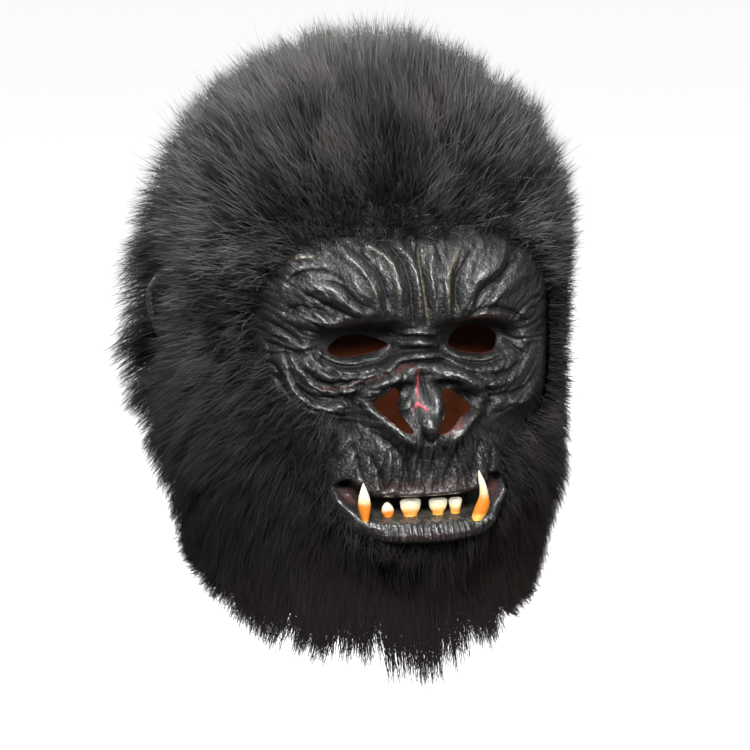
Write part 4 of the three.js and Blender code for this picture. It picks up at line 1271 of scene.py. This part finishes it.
@dataclass
class Tooth:
    """One tooth, shaped inside the box of its CAD piece."""

    shape: ToothShape
    sides: int = 36
    rings: int = 34

    def build(self, enamel: bpy.types.Material) -> bpy.types.Object:
        """Builds and dresses the tooth."""
        low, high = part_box(self.shape.name)
        low, high = np.array(low), np.array(high)
        size, middle = high - low, (high + low) / 2
        held = curve_through([(a, b) for a, b, _ in self.shape.rings], 8)
        thick = curve_through([(a, c) for a, _, c in self.shape.rings], 8)
        up = np.linspace(0.0, 1.0, self.rings) ** 0.9
        wide = np.interp(up, held[:, 0], held[:, 1])
        deep = np.interp(up, thick[:, 0], thick[:, 1])
        level, turn = np.meshgrid(
            np.arange(self.rings), np.linspace(0, 2 * math.pi, self.sides, endpoint=False), indexing="ij"
        )
        level, turn = level.ravel(), turn.ravel()
        rise = up[level]
        sway = self.shape.sway * np.sin(1.2 * math.pi * rise) + self.shape.lean * (rise - 0.5)
        room = 1.0 - abs(self.shape.sway) - abs(self.shape.lean)
        rib = 1 + 0.03 * np.sin(3 * turn + 4 * rise) * rise
        reach = 0.5 * room * wide[level] * np.cos(turn) * rib
        x = middle[0] + size[0] * (sway - 0.5 * self.shape.sway + reach)
        y = middle[1] + 0.5 * size[1] * deep[level] * np.sin(turn)
        dip = self.shape.notch * bell(np.cos(turn) / 0.4) * ease(rise, 0.7, 1.0)
        x, y = x + self.shape.shift, y - self.shape.proud
        z = low[2] + size[2] * self.shape.tall * (rise - dip)
        sheet = MeshSheet()
        faces = grid_faces(self.rings, self.sides, True)[:, ::-1]
        stain = self.shape.stain * (1 - ease(rise, 0.3, 0.75)) * ease(rise, 0.02, 0.2)
        sheet.add(np.column_stack([x, y, z]), [faces], 0, up=rise, stain=stain)
        top = np.array([[x[level == self.rings - 1].mean(), y[level == self.rings - 1].mean(),
                         z[level == self.rings - 1].mean() + 0.01 * size[2]]])
        edge = (self.rings - 1) * self.sides + np.arange(self.sides)
        cap = np.column_stack([np.full(self.sides, self.rings * self.sides), edge, np.roll(edge, -1)])
        sheet.points[0] = np.vstack([sheet.points[0], top])
        sheet.values[0] = {"up": np.append(rise, 1.0), "stain": np.append(stain, 0.0)}
        sheet.faces.append((cap, 0))
        sheet.count += 1
        return sheet.build(f"{self.shape.name}_enamel", [enamel])


# --- fur


class Patch(Enum):
    """The pieces of fur, named as their CAD pieces."""

    CROWN = "fur_crown"
    BACK = "fur_back"
    LEFT = "fur_left"
    RIGHT = "fur_right"
    BEARD = "fur_beard"


@dataclass
class FurCoat:
    """Deep fur: strands in tufts, tufts in locks, on a dark backing round the head."""

    head: HeadForm
    face: FaceFrame
    relief: FaceRelief
    pile: float = 0.031
    crest: float = 0.005
    left_full: float = 0.007
    side_full: float = 0.009
    crown_seam: float = -0.074
    back_seam: float = math.radians(126)
    beard_top: Pair = (0.5, 0.95)
    beard_foot: Pair = (0.86, 2.2)
    ear_drop: float = 0.112
    ear_back: float = 0.019
    tufts: int = 22500
    locks: int = 1300
    per_tuft: int = 10
    strand: float = 0.0003
    spread: float = 0.0028
    stray: float = 0.26
    splay: Pair = (0.0022, 0.0045)
    wild: float = 0.2
    behind_share: float = 0.5
    crown_share: float = 0.64

    LEVELS = (0.2, 0.7, 1.0)
    FOOT = ((-0.12, -0.212), (-0.096, -0.252), (-0.08, -0.264), (-0.065, -0.274), (-0.046, -0.28),
            (0.0, -0.286), (0.03, -0.281), (0.053, -0.266), (0.073, -0.25), (0.09, -0.242), (0.11, -0.226))

    def __post_init__(self) -> None:
        """Sets up the chance and the noises."""
        self.chance = np.random.default_rng(11)
        self.broad = Noise(21)
        self.close = Noise(22)
        self.edge = np.column_stack(self.face.place(*np.array(FUR_EDGE).T))

    def _outside(self, points: Array) -> Array:
        """How far places lie outside the fur's edge round the face, below 0 inside it."""
        gap, _, inside = to_outline(points[:, [0, 2]], self.edge)
        gap = np.where(inside, -gap, gap)
        return np.where(points[:, 1] < 0.1 * self.head.front, gap, 0.1)

    def _skin(self, angle: Array, down: Array) -> Array:
        """Places on the casting, with the large forms of the face."""
        points = self.head.point(angle, down)
        ahead = points[:, 1] < 0
        points[ahead, 1] -= self.relief.form(*self.face.shares(points[ahead, 0], points[ahead, 2]))
        return points

    def _depth(self, points: Array, gap: Array, down: Array) -> Array:
        """Depth of the fur: short round the face, a crest on top, full at the sides, fullest at the left."""
        near = ease(gap, 0.0, 0.6 * self.face.half)
        crest = self.crest * bell(points[:, 0] / (0.3 * self.head.half)) * (1 - ease(down, 0.02, 0.25))
        left = self.left_full * ease(-points[:, 0] / self.head.half, 0.5, 0.95) * bell((down - 0.47) / 0.17)
        p, q = self.face.shares(points[:, 0], points[:, 2])
        mouth = bell(np.hypot(p / 0.75, (q - 0.98) / 0.17)) * (points[:, 1] < 0)
        level = np.where(points[:, 0] < 0, -0.125, -0.16)
        back = self.side_full * bell((points[:, 2] - level) / 0.05) * ease(points[:, 1], 0.0, 0.035)
        ear = bell((points[:, 2] + self.ear_drop) / 0.03) * bell((points[:, 1] + 0.025) / 0.03)
        full = self.pile * (0.42 + 0.58 * near) + crest + left + back
        return full * (1 - 0.62 * mouth) * (1 - 0.4 * ear)

    def _scatter(self, count: int) -> tuple[Array, Array]:
        """Places scattered evenly over the furred head, closer in front.

        Args:
            count: how many places.

        Returns:
            Their angles and their shares of the way down.
        """
        angle = self.chance.uniform(-math.pi, math.pi, 16 * count)
        down = self.chance.uniform(0.0, 1.0, 16 * count)
        step = 0.01
        across = self.head.point(angle + step, down) - self.head.point(angle - step, down)
        along = self.head.point(angle, np.minimum(down + step, 1.0)) - self.head.point(
            angle, np.maximum(down - step, 0.0))
        area = np.linalg.norm(np.cross(across, along), axis=1)
        points = self.head.point(angle, down)
        gap = self._outside(points)
        area = area * np.where(points[:, 1] < 0.03, 1.0, self.behind_share) * (gap > 0.0)
        area = area * np.where(points[:, 2] > self.crown_seam, self.crown_share, 1.0)
        pocket = (np.abs(points[:, 1] - self.ear_back) < 0.01) & (
            np.abs(points[:, 2] + self.ear_drop) < 0.026)
        area = area * ~pocket
        picks = self.chance.choice(len(angle), count, replace=False, p=area / area.sum())
        return angle[picks], down[picks]

    def _flow(self, points: Array, normals: Array) -> Array:
        """The way the fur lies."""
        x, y, z = points.T
        crown = ease(z, -0.085, -0.02)
        low = ease(-z, 0.1, 0.2)
        behind = ease(y, -0.04, 0.06)
        away = unit(np.column_stack([x, np.zeros_like(x), z + 0.14]))
        way = away * (1.1 - 0.8 * low)[:, None]
        way[:, 1] += 0.25 + 0.45 * crown
        way[:, 2] -= 1.5 * low + 0.75 * behind * (1 - 0.5 * crown) + 0.25 * (1 - crown)
        ear = bell((z + self.ear_drop) / 0.035) * bell(y / 0.02)
        way[:, 1] += 0.9 * ear
        swirl = np.column_stack([self.broad.at(points * 30.0 + k) for k in (0.0, 31.0, 57.0)])
        curl = np.column_stack([self.close.at(points * 75.0 + k) for k in (0.0, 31.0, 57.0)])
        stray = self.chance.normal(0.0, self.stray, points.shape)
        return unit(flat_to(way + 0.75 * swirl + 0.7 * curl + stray, normals))

    def _foot(self, points: Array) -> Array:
        """The level that the tips hang down to."""
        across, levels = np.array(self.FOOT).T
        ahead = np.interp(points[:, 0], across, levels)
        ahead = ahead - 0.014 * bell((points[:, 0] - 0.0075) / 0.016)
        behind = -0.262 + 0.03 * ease(np.abs(points[:, 0]), 0.05, 0.11)
        uneven = self.close.at(points * (90.0, 90.0, 0.0))
        return ahead + (behind - ahead) * ease(points[:, 1], -0.03, 0.03) + 0.006 * uneven

    def _patches(self, points: Array) -> Array:
        """Which piece of fur each root belongs to, by its place in the order of the pieces."""
        order = list(Patch)
        x, y, z = points.T
        angle = np.abs(np.arctan2(x, -y))
        _, q = self.face.shares(x, z)
        (top_half, top_drop), (foot_half, foot_drop) = self.beard_top, self.beard_foot
        half = self.face.half * np.interp(q, (top_drop, foot_drop), (top_half, foot_half))
        beard = (q > top_drop) & (np.abs(x) < half) & (y < 0)
        side = np.where(x < 0, order.index(Patch.LEFT), order.index(Patch.RIGHT))
        made = np.where(beard, order.index(Patch.BEARD), side)
        made = np.where(angle > self.back_seam, order.index(Patch.BACK), made)
        return np.where(z > self.crown_seam, order.index(Patch.CROWN), made)

    def _tuft_arcs(self, angle: Array, down: Array) -> dict[str, Array]:
        """Root, bend and tip of each tuft.

        Args:
            angle: angles of the roots.
            down: shares of the way down of the roots.

        Returns:
            The root, bend, tip, normal and depth of each tuft.
        """
        root = self._skin(angle, down)
        normal = self.head.normal(angle, down)
        gap = self._outside(root)
        depth = self._depth(root, gap, down)
        way = self._flow(root, normal)
        low = ease(-root[:, 2], 0.15, 0.235)
        chin = low * ease(-root[:, 1], 0.0, 0.05)
        stand = depth * self.chance.uniform(0.8, 1.04, len(root)) * (1 - 0.3 * low - 0.25 * chin)
        hairline = 0.45 + 0.55 * ease(gap, 0.0, 0.02)
        long = depth * self.chance.uniform(0.35, 0.7, len(root)) * (1 + 1.1 * low) * hairline
        fall = np.zeros_like(root)
        tuft = bell((root[:, 0] - 0.0075) / 0.014)
        fall[:, 2] = -chin * (0.012 + 0.014 * tuft) * self.chance.uniform(0.7, 1.1, len(root))
        bend = root + normal * (0.68 * stand)[:, None] + way * (0.2 * long)[:, None]
        tip = root + normal * stand[:, None] + way * long[:, None] + fall
        under = np.minimum(tip[:, 2] - self._foot(tip), 0.0)
        tip[:, 2] -= 0.85 * under
        return {"root": root, "bend": bend, "tip": tip, "normal": normal, "depth": depth}

    def _gather_locks(self, arcs: dict[str, Array]) -> None:
        """Draws the tufts' tips together into locks."""
        heads = self.chance.choice(len(arcs["root"]), self.locks, replace=False)
        tree = kdtree.KDTree(self.locks)
        for i, pick in enumerate(heads):
            tree.insert(Vector(arcs["root"][pick]), i)
        tree.balance()
        nearest = np.array([heads[tree.find(Vector(root))[1]] for root in arcs["root"]])
        offset = arcs["root"] - arcs["root"][nearest]
        low = ease(-arcs["root"][:, 2], 0.08, 0.19)[:, None]
        for key, pull in (("bend", 0.1 + 0.12 * low), ("tip", 0.3 + 0.4 * low)):
            gathered = arcs[key][nearest] + 0.45 * offset
            arcs[key] = arcs[key] + pull * (gathered - arcs[key])
        arcs["lock"] = nearest

    def _strands(self, arcs: dict[str, Array]) -> tuple[Array, Array, Array, Array]:
        """Strands of every tuft.

        Args:
            arcs: the tufts' arcs.

        Returns:
            The strands' points (strand, cross-section, left or right, xyz), their tips, tones and tufts.
        """
        count = len(arcs["root"]) * self.per_tuft
        tuft = np.repeat(np.arange(len(arcs["root"])), self.per_tuft)
        chance = self.chance
        normal = arcs["normal"][tuft]
        spot = flat_to(chance.normal(size=(count, 3)), normal) * self.spread
        tame_splay, wild_splay = self.splay
        splay = chance.normal(size=(count, 3))
        splay = splay * np.where(chance.random(count) < self.wild, wild_splay, tame_splay)[:, None]
        short = 1.04 - 0.6 * chance.random(count) ** 1.3
        lock = 0.25 * chance.random(len(arcs["root"]))[arcs["lock"][tuft]] + 0.1
        lock = lock + (0.3 * self.broad.at(arcs["root"] * 42.0))[tuft]
        tone = lock + 0.25 * chance.random(len(arcs["root"]))[tuft] + 0.25 * chance.random(count)
        tone = tone + 0.35 * (ease(arcs["root"][:, 0], 0.0, 0.06) * ease(-arcs["root"][:, 2], 0.1, 0.2))[tuft]
        lines = []
        for s in self.LEVELS:
            t = (s * short)[:, None]
            first, second = (1 - t) ** 2 * arcs["root"][tuft], 2 * t * (1 - t) * arcs["bend"][tuft]
            arc = first + second + t**2 * arcs["tip"][tuft]
            lines.append(arc + spot * (1 - 0.6 * s) + splay * s * s)
        middle = np.stack(lines, axis=1)
        way = unit(np.gradient(middle, axis=1))
        roll = chance.normal(0.0, 0.55, count)[:, None, None]
        across = unit(np.cross(way, normal[:, None, :]))
        over = np.cross(across, way)
        across = across * np.cos(roll) + over * np.sin(roll)
        taper = np.array([1.1, 0.85])[None, :, None]
        widths = self.strand * taper * chance.uniform(0.7, 1.25, count)[:, None, None]
        left = middle[:, :2] - 0.5 * widths * across[:, :2]
        right = middle[:, :2] + 0.5 * widths * across[:, :2]
        return np.stack([left, right], axis=2), middle[:, 2], tone, tuft

    def _backing(self, sheet: MeshSheet, patch: int, lift: float = 0.0022) -> None:
        """Adds a piece's backing, laid on the head."""
        angles = np.linspace(-math.pi, math.pi, 121)
        shares = np.linspace(0.002, 1.0, 61)
        angle, down = np.meshgrid(angles, shares)
        angle, down = angle.ravel(), down.ravel()
        points = self._skin(angle, down)
        inset = self._outside(points) > 0.0025
        points = points + lift * self.head.normal(angle, down)
        faces = grid_faces(len(shares), len(angles), False)
        centre = points[faces].mean(axis=1)
        own = (self._patches(centre) == patch) & inset[faces].all(axis=1)
        pocket = (np.abs(centre[:, 1] - self.ear_back) < 0.012) & (
            np.abs(centre[:, 2] + self.ear_drop) < 0.027)
        kept = faces[own & ~pocket]
        used, place = np.unique(kept, return_inverse=True)
        sheet.add(points[used], [place.reshape(-1, 4)], 1)

    def build(self, fur: bpy.types.Material, backing: bpy.types.Material) -> dict[Patch, bpy.types.Object]:
        """Builds and dresses the pieces of fur."""
        arcs = self._tuft_arcs(*self._scatter(self.tufts))
        self._gather_locks(arcs)
        sides, tips, tone, tuft = self._strands(arcs)
        owner = self._patches(arcs["root"])[tuft]
        made = {}
        for pick, patch in enumerate(Patch):
            own = owner == pick
            count = int(own.sum())
            body = sides[own].reshape(count, 4, 3)
            points = np.concatenate([body, tips[own][:, None]], axis=1).reshape(-1, 3)
            first = 5 * np.arange(count)[:, None]
            sheet = MeshSheet()
            sheet.add(
                points, [first + (0, 1, 3, 2), first + (2, 3, 4)], 0, tone=np.repeat(tone[own], 5),
                along=np.tile(np.repeat(self.LEVELS, (2, 2, 1)), count),
            )
            self._backing(sheet, pick)
            made[patch] = sheet.build(f"{patch.value}_strands", [fur, backing])
            LOG.info("%s: %d strands", patch.value, count)
        return made


# --- stage


@dataclass(frozen=True)
class Softbox:
    """A soft square light: its place, aim, width and power."""

    name: str
    place: tuple[float, float, float]
    wide: float
    power: float
    aim: tuple[float, float, float] = (0.0, -0.05, -0.13)
    colour: Colour = (1.0, 1.0, 1.0)

    def build(self) -> None:
        """Adds the light."""
        data = bpy.data.lights.new(self.name, "AREA")
        data.size, data.energy, data.color = self.wide, self.power, self.colour
        made = bpy.data.objects.new(self.name, data)
        made.location = self.place
        made.rotation_euler = (Vector(self.aim) - Vector(self.place)).to_track_quat("-Z", "Y").to_euler()
        bpy.context.scene.collection.objects.link(made)


@dataclass(frozen=True)
class Studio:
    """A pale floor that sweeps up to a backdrop, soft lights and the camera at the photograph's angle."""

    floor_level: float = -0.42
    backdrop: float = 20.0
    ambient: float = 0.12
    distance: float = 1.5
    azimuth: float = 15.5
    elevation: float = 4.0
    turn_right: float = 0.22
    pitch: float = -9.62
    lens: float = 139.0
    lights: tuple[Softbox, ...] = (
        Softbox("key", (-0.5, -1.2, 0.8), 0.45, 46.0),
        Softbox("fill", (0.4, -1.5, 0.4), 0.45, 17.0),
        Softbox("top", (-0.15, -0.1, 1.3), 0.6, 38.0),
        Softbox("right rim", (1.1, 0.9, 0.5), 0.6, 12.0),
        Softbox("left rim", (-1.1, 1.0, 0.6), 0.6, 14.0),
    )

    def build(self) -> None:
        """Builds the floor, which throws no light back on the black mask, the lights and the camera."""
        profile = np.array([(0.01, 0.0), (0.8, 0.0), (0.925, 0.035), (0.985, 0.125), (1.0, 0.25), (1.0, 1.5)])
        turn = np.linspace(0, 2 * math.pi, 64, endpoint=False)
        reach, rise = (self.backdrop * np.repeat(column, len(turn)) for column in profile.T)
        turn = np.tile(turn, len(profile))
        points = np.column_stack([reach * np.cos(turn), reach * np.sin(turn), rise + self.floor_level])
        sheet = MeshSheet()
        sheet.add(points, [grid_faces(len(profile), 64, True), np.arange(64)[None, :]])
        floor = sheet.build("floor", [FloorFinish().make()])
        floor.visible_diffuse = floor.visible_glossy = False
        floor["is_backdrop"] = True
        for light in self.lights:
            light.build()
        world = bpy.data.worlds.new("studio")
        world.use_nodes = True
        world.node_tree.nodes["Background"].inputs["Color"].default_value = (1.0, 1.0, 1.0, 1.0)
        world.node_tree.nodes["Background"].inputs["Strength"].default_value = self.ambient
        scene = bpy.context.scene
        scene.world = world
        scene.view_settings.view_transform = "Standard"
        self._camera()

    def _camera(self) -> None:
        """Sets the camera."""
        data = bpy.data.cameras.new("camera")
        data.lens, data.sensor_width = self.lens, 36.0
        made = bpy.data.objects.new("camera", data)
        turn, lift = math.radians(self.azimuth), math.radians(self.elevation)
        made.location = (
            -self.distance * math.sin(turn) * math.cos(lift),
            -self.distance * math.cos(turn) * math.cos(lift),
            self.distance * math.sin(lift),
        )
        made.rotation_euler = (
            math.radians(90 + self.pitch), 0.0, -math.radians(self.azimuth + self.turn_right)
        )
        bpy.context.scene.collection.objects.link(made)
        bpy.context.scene.camera = made


def settle(piece: bpy.types.Object, slot: Slot, *nodes: str) -> None:
    """Fixes a piece to the head in place of its CAD pieces."""
    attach(piece, "root")
    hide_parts(*nodes)
    LOG.info("%s stands for %s", piece.name, ", ".join(nodes))


def write_sizes() -> None:
    """Gathers the box of the CAD part and of the finished model."""
    sizes = {key: [list(map(float, corner)) for corner in box]
             for key, box in (("cad", CAD_SIZE), ("scene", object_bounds()))}


def main() -> None:
    """Builds the mask's looks piece by piece."""
    logging.basicConfig(level=logging.INFO)
    head, face = HeadForm(), FaceFrame()
    latex, enamel = LatexFinish().make(), EnamelFinish().make()
    mask = LatexMask(head, face, FaceRelief(face))
    settle(mask.build(latex, LiningFinish().make()), Slot.LATEX, "latex_mask")
    for side, node in ((-1, "ear_left"), (1, "ear_right")):
        settle(Ear(side, head).build(latex), Slot.LATEX, node)
    for shape in TOOTH_SHAPES:
        settle(Tooth(shape).build(enamel), Slot.TOOTH, shape.name)
    coat = FurCoat(head, face, mask.relief)
    for patch, piece in coat.build(FurFinish().make(), BackingFinish().make()).items():
        settle(piece, Slot.FUR, patch.value)
    Studio().build()
    write_sizes()


if __name__ == "__main__":
    main()
